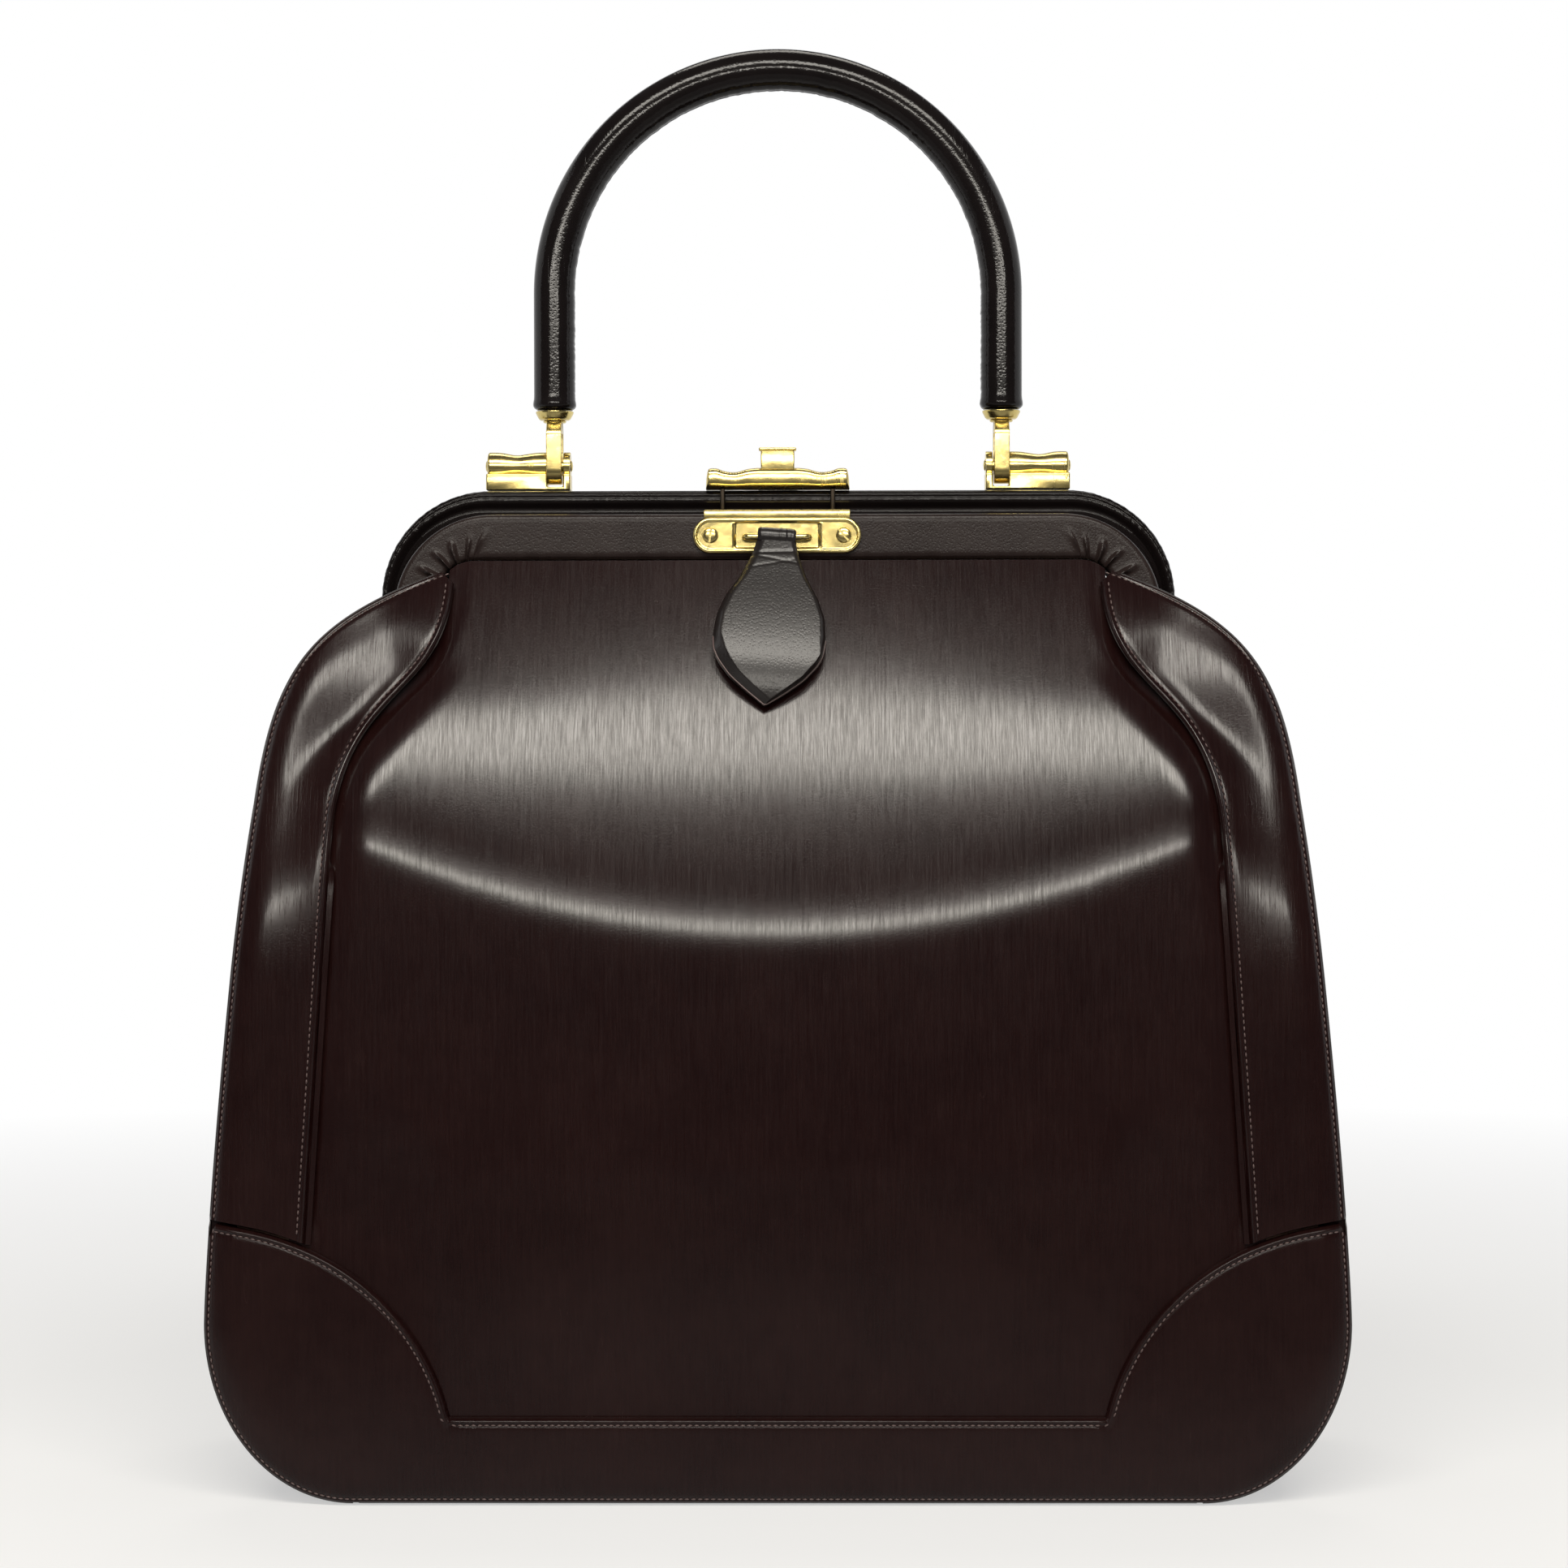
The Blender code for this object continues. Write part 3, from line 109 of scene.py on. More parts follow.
def make_outline():
    turn = np.linspace(0, math.pi / 2, 60)
    corner = points_of(
        BASE_HALF + (BELLY[0] - BASE_HALF) * np.sin(turn),
        SEAM_LIFT + (BELLY[1] - SEAM_LIFT) * (1 - np.cos(turn)),
    )
    rise = np.linspace(0, 1, 60)[1:]
    side = points_of(
        BELLY[0] - (BELLY[0] - SHOULDER[0]) * rise**1.3,
        BELLY[1] + (SHOULDER[1] - BELLY[1]) * rise,
    )
    handles = [end + 0.8 * (SHOULDER_CORNER - end) for end in (SHOULDER, TIP)]
    return np.concatenate([corner, side, curve(SHOULDER, *handles, TIP)[1:]])


OUTLINE = make_outline()
lean = (PANEL_BASE[0] - PANEL_WAIST[0]) / PANEL_WAIST[1]
PANEL_EDGE = np.concatenate(
    [
        [PANEL_BASE],
        curve(
            PANEL_WAIST,
            PANEL_WAIST + np.array([-lean, 1]) * 38 * MM,
            PANEL_TOP - np.array([0, 32]) * MM,
            PANEL_TOP,
        ),
    ]
)
patch_corner = np.array([np.interp(PATCH_HEIGHT, OUTLINE[:, 1], OUTLINE[:, 0]), PATCH_HEIGHT])
PATCH_EDGE = curve(
    (BAND_HALF, BAND_HEIGHT),
    (BAND_HALF + 6 * MM, BAND_HEIGHT + 25.2 * MM),
    patch_corner - np.array([31.5, 2.5]) * MM,
    patch_corner,
)
print(f"outline {run_of(OUTLINE)[-1] * 1000:.0f} mm from the base to the frame")

# %% [markdown]
# ## The skin of the body
#
# Every leather layer on the front follows one skin: upright up to a bend, then sloping back to the
# mouth. The centre panel is a stiffened sheet that has sagged a little in use. It is fullest low
# down, and a wide smile-shaped ridge runs across it where the upright part turns into the slope.
# That ridge is what catches the light on the real bag. A few smooth functions of the place on the
# front give all of it, and they take whole arrays at once, which keeps thousands of points quick.

# %% Depths of the skin
BODY_HALF_DEPTH = 47 * MM
MOUTH_HALF_DEPTH = 16 * MM
BEND = 150 * MM
BEND_EASE = 22 * MM
PROUD = 2.0 * MM
TUCK = 4 * MM
ROLL = 3 * MM
ROLL_WIDTH = 8 * MM
LEATHER = 1.3 * MM


def eased(value, low, high):
    """0 at low and 1 at high, with a smooth rise between."""
    share = np.clip((value - low) / (high - low), 0, 1)
    return share * share * (3 - 2 * share)


def bump(value, middle, width):
    """1 in the middle, falling off smoothly on both sides."""
    return np.exp(-(((value - middle) / width) ** 2))


def between(first, second, share):
    return first * (1 - share) + second * share


def ridge(value, size, middle, width):
    return size * bump(value, middle, width)


def quarter_round(share):
    """How far a quarter circle has fallen: not at all at 0, and all the way at 1."""
    return 1 - np.sqrt(1 - np.clip(share, 0, 1) ** 2)


def half_depth(height):
    slope = (BODY_HALF_DEPTH - MOUTH_HALF_DEPTH) / (MOUTH - BEND)
    above = height - BEND
    fall = np.where(above < BEND_EASE, (above + BEND_EASE) ** 2 / (4 * BEND_EASE), above)
    return BODY_HALF_DEPTH - slope * np.where(above <= -BEND_EASE, 0, fall)


def panel_half_width(height):
    return np.interp(height, PANEL_EDGE[:, 1], PANEL_EDGE[:, 0])


def outline_half_width(height):
    return np.interp(height, OUTLINE[:, 1], OUTLINE[:, 0])


def band_top(x):
    return np.interp(np.abs(x), PATCH_EDGE[:, 0], PATCH_EDGE[:, 1])


# The crease is lowest in the middle, and has risen by CREASE_RISE 100 mm to each side.
CREASE_LOW = 139 * MM
CREASE_RISE = 23 * MM
CREASE_REACH = 106 * MM
BELLY_FULL, BELLY_FOOT = 5.4 * MM, 60 * MM
CROWN_POWER, CROWN_SHARE = 2.2, 0.3
# The skin is let go over the panel and held again before the seam, later so near the frame.
HELD_SHARE, HELD_SHOULDER, HELD_CORNER = 0.9, 0.04, 0.14
SEAM_STOP, SHOULDER_STOP, CORNER_STOP = 5 * MM, 8 * MM, 0.5 * MM
SHOULDER_ZONE = (170 * MM, 195 * MM)
CORNER_ZONE = (200 * MM, 228 * MM)
SINK = 0.8 * MM
# Each turn has a slope, the height over which it sets in, and its place above the crease.
FIRST_TURN = (0.13, 1.5 * MM, -1.6 * MM)
SECOND_TURN = (0.155, 4 * MM, 7 * MM)
THIRD_TURN = (0.29, 14 * MM, 49 * MM)
THIRD_RISE = 1.1
MOUTH_CORNER = np.array([76.5, 9.0]) * MM


def leaned(height, slope, width, start):
    """What a slope that sets in around one height takes off the depth, from there to the mouth."""
    full, past = (np.logaddexp(0, (level - start) / width) for level in (MOUTH, height))
    return slope * width * (full - past)


def mouth_line(x):
    """The upper edge of the panels and linings, which follows the frame's inner corners."""
    start, radius = MOUTH_CORNER
    over = np.clip(np.abs(x) - start, 0, radius)
    return MOUTH - radius + np.sqrt(radius**2 - over**2)


def over_panel(x, height):
    """How far a place is across the panel, from 0 to 1, and how far up from band to mouth."""
    low = band_top(x)
    across = np.clip(np.abs(x) / panel_half_width(height), 0, 1)
    return across, np.clip((height - low) / (MOUTH - low), 0, 1)


def bulge(x, height):
    """How far the skin stands out in front of a plain box. It dies away towards the seam."""
    across, up = over_panel(x, height)
    rise = CREASE_RISE * (np.minimum(np.abs(x), CREASE_REACH) / (100 * MM)) ** 2
    turns = [
        (slope, width, CREASE_LOW + offset + rise)
        for slope, width, offset in (FIRST_TURN, SECOND_TURN)
    ]
    upper = (*THIRD_TURN[:2], CREASE_LOW + THIRD_TURN[2] + THIRD_RISE * rise)
    crown = BELLY_FULL * (1 - across**CROWN_POWER)
    target = BODY_HALF_DEPTH - MOUTH_HALF_DEPTH + crown
    rest = (target - sum(leaned(BELLY_FOOT, *turn) for turn in turns)) / leaned(BELLY_FOOT, *upper)
    fall = sum(leaned(height, *turn) for turn in turns) + rest * leaned(height, *upper)
    free = MOUTH_HALF_DEPTH + fall - crown * (1 - eased(up, 0, CROWN_SHARE))
    wide, seam = panel_half_width(height), outline_half_width(height)
    high, top = eased(height, *SHOULDER_ZONE), eased(height, *CORNER_ZONE)
    last = between(wide + SHOULDER_STOP, seam - CORNER_STOP, top)
    last = between(seam - SEAM_STOP, last, high)
    first = (HELD_SHARE - HELD_SHOULDER * high + HELD_CORNER * top) * wide
    held = eased(np.abs(x), first, last)
    return (free - half_depth(height)) * (1 - held)


def panel_sink(x, height):
    """How far the panel dips where it goes under the pieces that lie on it."""
    across, up = over_panel(x, height)
    return SINK * eased(across, 0.94, 1.0) * eased(up, 0, 0.05)


print(f"the panel stands {bulge(np.array([0]), np.array([100 * MM]))[0] * 1000:.1f} mm proud")

# %% [markdown]
# ## Surface detail that several finishes share
#
# Four effects come back in most of the materials, so each is a node group with named sockets: the
# fine grain of box calf, the brushed streaks that polishing leaves, a cloudy change of gloss from
# handling, and small scratches. On leather and cloth they read the place that a point has while
# the bag is closed, so nothing slides when the leather bends with the frame.

# %% Helpers for node trees
PLACE = "rest_place"


def group_of(name, knob, start, result):
    """A node group that reads a place and one number, with both and the socket of its result."""
    tree = bpy.data.node_groups.new(name, "ShaderNodeTree")
    number = "NodeSocketFloat"
    tree.interface.new_socket("Place", in_out="INPUT", socket_type="NodeSocketVector")
    tree.interface.new_socket(knob, in_out="INPUT", socket_type=number).default_value = start
    tree.interface.new_socket(result, in_out="OUTPUT", socket_type=number)
    inputs = tree.nodes.new("NodeGroupInput").outputs
    return tree, inputs[0], inputs[1], tree.nodes.new("NodeGroupOutput").inputs[0]


def feed(tree, node, values):
    """Gives input sockets of a node their values or links."""
    for socket, value in values.items():
        if isinstance(value, bpy.types.NodeSocket):
            tree.links.new(value, node.inputs[socket])
        else:
            node.inputs[socket].default_value = value


def add_node(tree, kind, values=None, **settings):
    """A node with its settings, and with values or links for its input sockets."""
    node = tree.nodes.new(kind)
    for name, value in settings.items():
        setattr(node, name, value)
    feed(tree, node, values or {})
    return node


def arithmetic(tree, operation, first, second=0.0, third=0.0):
    node = add_node(tree, "ShaderNodeMath", {0: first, 1: second, 2: third}, operation=operation)
    return node.outputs[0]


def summed(tree, total, *weighted):
    """A first value plus each of the others times its weight."""
    for value, weight in weighted:
        total = arithmetic(tree, "MULTIPLY_ADD", value, weight, total)
    return total


def spread(tree, value, low, high, to_low=0.0, to_high=1.0):
    """A value from low to high stretched to another range, with its ends held."""
    values = {0: value, 1: low, 2: high, 3: to_low, 4: to_high}
    return add_node(tree, "ShaderNodeMapRange", values).outputs[0]


def stretched(tree, place, scale):
    return add_node(tree, "ShaderNodeMapping", {"Vector": place, "Scale": scale}).outputs[0]


def noise(tree, place, scale, detail=2.0, roughness=0.5):
    values = {"Vector": place, "Scale": scale, "Detail": detail, "Roughness": roughness}
    return add_node(tree, "ShaderNodeTexNoise", values).outputs["Fac"]


def mixed(tree, share, first, second):
    """A colour between two others."""
    values = {0: share, 6: (*first, 1), 7: (*second, 1)}
    return add_node(tree, "ShaderNodeMix", values, data_type="RGBA").outputs[2]


def relief(tree, strength, depth, height):
    """The normal of a surface with a height map on it."""
    values = {"Strength": strength, "Distance": depth, "Height": height}
    return add_node(tree, "ShaderNodeBump", values).outputs[0]


# %% The grain, the streaks, the clouds and the scratches
grain, place, pore_size, result = group_of("calf_grain", "Pore Size", 0.5, "Height")
per_metre = arithmetic(grain, "DIVIDE", 1000.0, pore_size)
cells = add_node(grain, "ShaderNodeTexVoronoi", {"Vector": place, "Scale": per_metre})
pores = spread(grain, cells.outputs["Distance"], 0.0, 0.55)
soft = noise(grain, place, 900.0, 3.0, 0.6)
grain.links.new(summed(grain, pores, (soft, 0.6)), result)

streaks, place, fineness, result = group_of("brushed_streaks", "Fineness", 1.0, "Mask")
long_hairs = noise(streaks, stretched(streaks, place, (1500, 60, 42)), fineness, 3.0, 0.7)
short_hairs = noise(streaks, stretched(streaks, place, (3100, 90, 130)), fineness, 2.0, 0.6)
hairs = summed(streaks, 0.0, (long_hairs, 0.6), (short_hairs, 0.6))
streaks.links.new(spread(streaks, hairs, 0.48, 0.74), result)

clouds, place, cloud_size, result = group_of("handling_clouds", "Size", 25.0, "Mask")
drift = noise(clouds, place, arithmetic(clouds, "DIVIDE", 1000.0, cloud_size), 4.0, 0.55)
clouds.links.new(spread(clouds, drift, 0.32, 0.7), result)

scratches, place, amount, result = group_of("fine_scratches", "Amount", 0.5, "Mask")
marks = 0.0
for turn, size in ((0.35, 21.0), (-0.6, 33.0), (1.35, 27.0)):
    values = {"Vector": place, "Rotation": (0, turn, 0), "Scale": (size * 14, size, size)}
    turned = add_node(scratches, "ShaderNodeMapping", values).outputs[0]
    lines = noise(scratches, turned, 1.0, 1.0, 0.4)
    thin = arithmetic(scratches, "ABSOLUTE", arithmetic(scratches, "SUBTRACT", lines, 0.5))
    thin = spread(scratches, thin, 0.0, 0.006, 1.0, 0.0)
    where = spread(scratches, noise(scratches, place, size * 1.3), 0.6, 0.68)
    mark = arithmetic(scratches, "MULTIPLY", thin, where)
    marks = arithmetic(scratches, "MAXIMUM", marks, mark)
scratches.links.new(arithmetic(scratches, "MULTIPLY", marks, amount), result)
print("groups:", ", ".join(sorted(tree.name for tree in bpy.data.node_groups)))

# %% [markdown]
# ## The leathers
#
# Box calf is dyed almost black with a wine-red ground, and glazed. Its colour hardly matters
# beside its gloss: polish leaves upright streaks that scatter the light, and handling dulls it in
# clouds. The handle and the covered ring are glazed hardest, and the front frame and the pull tab
# are duller than the panels. The pull tab's ground is lighter and greyer than the handle's, which
# paints a sheen on it. One function makes all six finishes, each with its own colours and gloss.


# %% A leather finish
def shader_of(name):
    finish = bpy.data.materials.new(name)
    finish.use_nodes = True
    tree = finish.node_tree
    return finish, tree, tree.nodes["Principled BSDF"]


def rest_place(tree):
    """The place that a point has while the bag is closed."""
    return add_node(tree, "ShaderNodeAttribute", attribute_name=PLACE).outputs["Vector"]


def object_place(tree):
    return add_node(tree, "ShaderNodeTexCoord").outputs["Object"]


def use_group(tree, group, place, **values):
    values = {name.replace("_", " "): value for name, value in values.items()}
    return add_node(
        tree, "ShaderNodeGroup", {"Place": place, **values}, node_tree=group
    ).outputs[0]


def leather_finish(name, dark, light, gloss, rough, streaky, pore, depth, specular, coat=None):
    """Glazed calf from a dark ground to a lighter bloom. gloss and rough are its roughnesses."""
    finish, tree, shader = shader_of(name)
    place = rest_place(tree)
    cloud, small_cloud = (use_group(tree, clouds, place, Size=size) for size in (28.0, 6.0))
    hair = arithmetic(tree, "MULTIPLY", use_group(tree, streaks, place), streaky)
    scratch = use_group(tree, scratches, place, Amount=0.8)
    tint = summed(tree, 0.0, (cloud, 0.5), (small_cloud, 0.3), (scratch, 0.8), (hair, 0.4))
    dull = summed(tree, 0.0, (cloud, 0.25), (hair, 0.85), (scratch, 0.6))
    fine = use_group(tree, grain, place, Pore_Size=pore)
    height = summed(tree, fine, (hair, 1.5), (scratch, -1.5))
    values = {
        "Base Color": mixed(tree, tint, dark, light),
        "Roughness": spread(tree, dull, 0.0, 1.2, gloss, rough),
        "Normal": relief(tree, depth, 0.05 * MM, height),
        "Specular IOR Level": specular,
    }
    if coat:
        gloss_lines = use_group(tree, streaks, place, Fineness=1.7)
        polished = spread(tree, gloss_lines, 0.0, 1.0, *coat)
        up = add_node(tree, "ShaderNodeSeparateXYZ", {0: place}).outputs[2]
        kept = spread(tree, up, 0.06, 0.135, 0.15, 1.0)
        values["Coat Weight"] = arithmetic(tree, "MULTIPLY", polished, kept)
        values["Coat Roughness"] = 0.17
    feed(tree, shader, values)
    return finish


BODY_LEATHER = leather_finish(
    "body_calf", (0.0065, 0.0016, 0.0016), (0.0125, 0.0044, 0.0040),
    gloss=0.17, rough=0.29, streaky=0.8, pore=0.45, depth=0.28, specular=0.12, coat=(0.24, 0.72),
)
STRIP_LEATHER = leather_finish(
    "strip_calf", (0.0070, 0.0019, 0.0019), (0.0130, 0.0048, 0.0044),
    gloss=0.18, rough=0.31, streaky=0.7, pore=0.45, depth=0.35, specular=0.13, coat=(0.12, 0.52),
)
FRAME_LEATHER = leather_finish(
    "frame_calf", (0.0115, 0.0070, 0.0065), (0.025, 0.0175, 0.016),
    gloss=0.28, rough=0.42, streaky=0.15, pore=0.6, depth=0.45, specular=0.16,
)
GLOSSY_LEATHER = leather_finish(
    "polished_calf", (0.004, 0.003, 0.003), (0.008, 0.0060, 0.0060),
    gloss=0.12, rough=0.22, streaky=0.1, pore=0.7, depth=0.30, specular=0.24,
)
RING_LEATHER = leather_finish(
    "ring_calf", (0.004, 0.003, 0.003), (0.007, 0.005, 0.005),
    gloss=0.16, rough=0.28, streaky=0.1, pore=0.7, depth=0.30, specular=0.12,
)
# Painted sheen: the tab's ground is lighter and greyer than the near-black of the handle's leather.
TAB_LEATHER_PAINTED_SHEEN = leather_finish(
    "tab_calf_painted_sheen", (0.008, 0.0062, 0.0060), (0.018, 0.0145, 0.0135),
    gloss=0.29, rough=0.44, streaky=0.1, pore=0.7, depth=0.45, specular=0.45,
)


def simple_finish(name, color, roughness):
    finish, tree, shader = shader_of(name)
    feed(tree, shader, {"Base Color": (*color, 1), "Roughness": roughness})
    return finish


CUT_EDGE = simple_finish("painted_edge", (0.010, 0.006, 0.006), 0.5)
# The thread colour of the stitches also paints the highlight along the pull tab's lower edges.
THREAD_AND_EDGE_HIGHLIGHT = simple_finish("waxed_thread_and_edge_highlight", (0.085, 0.055, 0.052), 0.45)
print("finishes:", ", ".join(sorted(finish.name for finish in bpy.data.materials)))

# %% [markdown]
# ## The fittings' gold, and the cloth inside
#
# The gold is polished plating. It mirrors the room, so most of its look comes from its roughness:
# low, with hazy smears and hair scratches. The frames' steel and the clasp's prongs are made the
# same way; the prongs are near black, a painted shade for the dark gap they stand in. The cloth
# is a plain weave, of two crossed sine waves at thread size.


# %% Gold, steel and cloth
def metal_finish(name, color, worn, gloss, rough):
    finish, tree, shader = shader_of(name)
    place = object_place(tree)
    cloud = use_group(tree, clouds, place, Size=5.0)
    scratch = use_group(tree, scratches, place, Amount=1.0)
    haze = summed(tree, 0.0, (cloud, 0.6), (scratch, 0.7))
    waves, dents = noise(tree, place, 190.0), noise(tree, place, 620.0)
    height = summed(tree, waves, (dents, 0.15), (scratch, -0.3))
    feed(tree, shader, {
        "Base Color": mixed(tree, arithmetic(tree, "MULTIPLY", cloud, 0.5), color, worn),
        "Roughness": spread(tree, haze, 0.0, 1.0, gloss, rough),
        "Normal": relief(tree, 0.3, 0.25 * MM, height),
        "Metallic": 1.0,
    })
    return finish


GOLD = metal_finish("polished_gold", (0.70, 0.57, 0.23), (0.47, 0.36, 0.12), 0.17, 0.37)
STEEL = metal_finish("frame_steel", (0.55, 0.53, 0.50), (0.40, 0.37, 0.33), 0.25, 0.5)
# Painted shade: the prongs are near black because they stand in the dark gap between the frames.
PRONG_PAINTED_SHADE = metal_finish(
    "prong_painted_shade", (0.030, 0.024, 0.018), (0.015, 0.012, 0.010), 0.35, 0.55
)


def woven_finish(name, color, light, thread):
    finish, tree, shader = shader_of(name)
    place = rest_place(tree)
    parts = add_node(tree, "ShaderNodeSeparateXYZ", {0: place}).outputs
    turns = 2 * math.pi / thread
    warp, weft = (
        arithmetic(tree, "SINE", arithmetic(tree, "MULTIPLY", line, turns))
        for line in (arithmetic(tree, "ADD", parts[0], parts[1]), parts[2])
    )
    shade = spread(tree, arithmetic(tree, "MULTIPLY", warp, weft), -1.0, 1.0)
    slub = noise(tree, stretched(tree, place, (300, 300, 2200)), 1.0)
    weave = summed(tree, 0.0, (shade, 0.5), (slub, 0.5))
    feed(tree, shader, {
        "Base Color": mixed(tree, weave, color, light),
        "Normal": relief(tree, 0.5, 0.1 * MM, weave),
        "Roughness": 0.85,
        "Sheen Weight": 0.3,
    })
    return finish


LINING_CLOTH = woven_finish("lining_twill", (0.10, 0.055, 0.040), (0.17, 0.105, 0.075), 0.7 * MM)
print("fittings:", GOLD.name, STEEL.name, LINING_CLOTH.name)

# %% [markdown]
# ## Sheets of leather
#
# A sheet starts as a flat grid. Each grid point is carried to its place by a function of its
# column and row, so the grid can be dense where an edge turns or a stitch row sinks in, and open
# where the leather is plain. The sheet then gets its thickness, and each point keeps a note of
# where it lies.
#
# Two fold lines are given for the leather that should bend when the front frame opens: one along
# the slope of the front's skin, shared by all its layers, and one along the gussets' front edge.
# A piece that is given a fold is left where it stands.


# %% From a bmesh to a piece
def add_object(name, data):
    made = bpy.data.objects.new(name, data)
    bpy.context.scene.collection.objects.link(made)
    return made


def mesh_object(name, bm, finish):
    mesh = bpy.data.meshes.new(name)
    bm.to_mesh(mesh)
    bm.free()
    mesh.materials.append(finish)
    return add_object(name, mesh)


def finish_piece(name, bm, finish, body, slot, *nodes, sharp=50):
    """A piece on a body, or baked where it stands when given a fold, with its rest places and the
    nodes it replaces.
    """
    piece = mesh_object(name, bm, finish)
    mesh = piece.data
    mesh.shade_smooth()
    mesh.set_sharp_from_angle(angle=math.radians(sharp))
    spots = np.empty(len(mesh.vertices) * 3, np.float32)
    mesh.vertices.foreach_get("co", spots)
    mesh.attributes.new(PLACE, "FLOAT_VECTOR", "POINT").data.foreach_set("vector", spots)
    if isinstance(body, str):
        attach(piece, body)
    else:
        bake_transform(piece)
    if nodes:
        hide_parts(*nodes)
    return piece


FRONT_FOLD = {"start": (0, -47 * MM, 150 * MM), "end": (0, -29.9 * MM, 192 * MM)}
SIDE_FOLD = {"start": (0, 14 * MM, 225.4 * MM), "end": (0, 3.8 * MM, 233.7 * MM)}


def grid_mesh(place, columns, rows, flip_x=False, flip_y=False):
    """A grid carried to place(column, row). The arrays hold one value for each point."""
    bm = bmesh.new()
    bmesh.ops.create_grid(bm, x_segments=len(columns) - 1, y_segments=len(rows) - 1, size=0.5)
    bm.verts.ensure_lookup_table()
    flat = np.array([vertex.co for vertex in bm.verts])
    column = np.asarray(columns)[np.rint((flat[:, 0] + 0.5) * (len(columns) - 1)).astype(int)]
    row = np.asarray(rows)[np.rint((flat[:, 1] + 0.5) * (len(rows) - 1)).astype(int)]
    spots = np.stack(place(column, row), axis=1)
    spots *= (-1 if flip_x else 1, -1 if flip_y else 1, 1)
    for vertex, spot in zip(bm.verts, spots):
        vertex.co = spot
    if flip_x != flip_y:
        bmesh.ops.reverse_faces(bm, faces=bm.faces)
    return bm


def verts_of(made):
    """The vertices among what an operator made."""
    return [item for item in made["geom"] if isinstance(item, bmesh.types.BMVert)]


def thicken(bm, thickness):
    """Gives a sheet its thickness, on the side away from its normals."""
    bm.normal_update()
    for vertex in verts_of(bmesh.ops.extrude_face_region(bm, geom=list(bm.faces))):
        vertex.co -= vertex.normal * thickness
    bmesh.ops.recalc_face_normals(bm, faces=bm.faces)
    return bm


def fold_of(facing):
    """The back of the bag never moves, so it goes on the bag, and the front gets the fold's line.
    """
    return FRONT_FOLD if facing < 0 else "bag"


# %% [markdown]
# ## Centre panels
#
# The panel is one sheet from the bottom band to the frame. It runs 4 mm under the strips and the
# band around it, as the real one does, so no gap can show at its edges.


# %% Centre panels
def panel_place(u, v):
    reach = np.minimum(np.abs(u), 1)
    low = band_top(reach * panel_half_width(PATCH_HEIGHT))
    tucked = np.where(np.abs(u) > 1, TUCK - (TUCK - 1.5 * MM) * np.clip(v, 0, 1), 0)
    high = mouth_line(reach * panel_half_width(MOUTH) + tucked)
    height = np.where(v < 0, low - TUCK, low + (high - low) * v)
    x = np.sign(u) * (reach * panel_half_width(height) + tucked)
    return x, panel_sink(x, height) - half_depth(height) - bulge(x, height), height


edge_run = 1 - np.linspace(0, 1, 13)[1:] ** 1.6 * 0.12
panel_columns = np.concatenate(
    [[-1.5, -1], -edge_run, np.linspace(-0.86, 0.86, 91), edge_run[::-1], [1, 1.5]]
)
panel_rows = np.concatenate([[-1], np.linspace(0, 0.06, 8)[:-1], np.linspace(0.06, 1, 110)])
for side, facing in SIDES:
    bm = thicken(grid_mesh(panel_place, panel_columns, panel_rows, flip_y=facing > 0), LEATHER)
    name, node = f"{side}_panel_leather", f"{side}_center_panel"
    panel = finish_piece(name, bm, BODY_LEATHER, fold_of(facing), "body_leather", node)
print("panel faces:", len(panel.data.polygons))

# %% [markdown]
# ## Side strips and bottom band
#
# These pieces lie on the panel. Their inner edge is turned under, so it is round with a low bead
# behind it, then comes the sunk stitch row. Towards the seam they roll back and end in a second
# row, a millimetre from the cut edge. All of that depends only on how far a point is from the two
# edges, so one function shapes both the strips and the band with its corner patches.


# %% The layer that lies on the panel
def distance_to(x, height, line):
    """The distance from each point to a line drawn on the front."""
    points = points_of(x, height)
    best = np.full(len(points), np.inf)
    for first, move in zip(line[:-1], np.diff(line, axis=0)):
        share = np.clip((points - first) @ move / max(move @ move, 1e-18), 0, 1)
        best = np.minimum(best, np.linalg.norm(points - first - share[:, None] * move, axis=1))
    return best


EDGE_ROW = 1.9 * MM
SEAM_ROW = 1.1 * MM
STITCH_PITCH = 1.6 * MM
# Each ridge or groove has its size, its place and its width.
EDGE_GROOVE, SEAM_GROOVE = ((0.22 * MM, row, 0.4 * MM) for row in (EDGE_ROW, SEAM_ROW))
EDGE_BEAD = (0.30 * MM, 1.0 * MM, 0.55 * MM)
SHOULDER_SWELL = (1.5 * MM, 206 * MM, 16 * MM)
TURNED_DROP, TURNED_RADIUS = 1.7 * MM, 1.2 * MM
ROLL_ENDS = (198 * MM, 222 * MM)
CUT_BEVEL = 0.5 * MM
BAND_CLEAR = 0.8 * MM
WHOLE_OUTLINE = np.concatenate([[(0, SEAM_LIFT)], OUTLINE])
BAND_EDGE = np.concatenate([[(0, BAND_HEIGHT)], PATCH_EDGE])
STRIP_INNER = np.concatenate([[(panel_half_width(30 * MM), 30 * MM)], PANEL_EDGE[1:]])


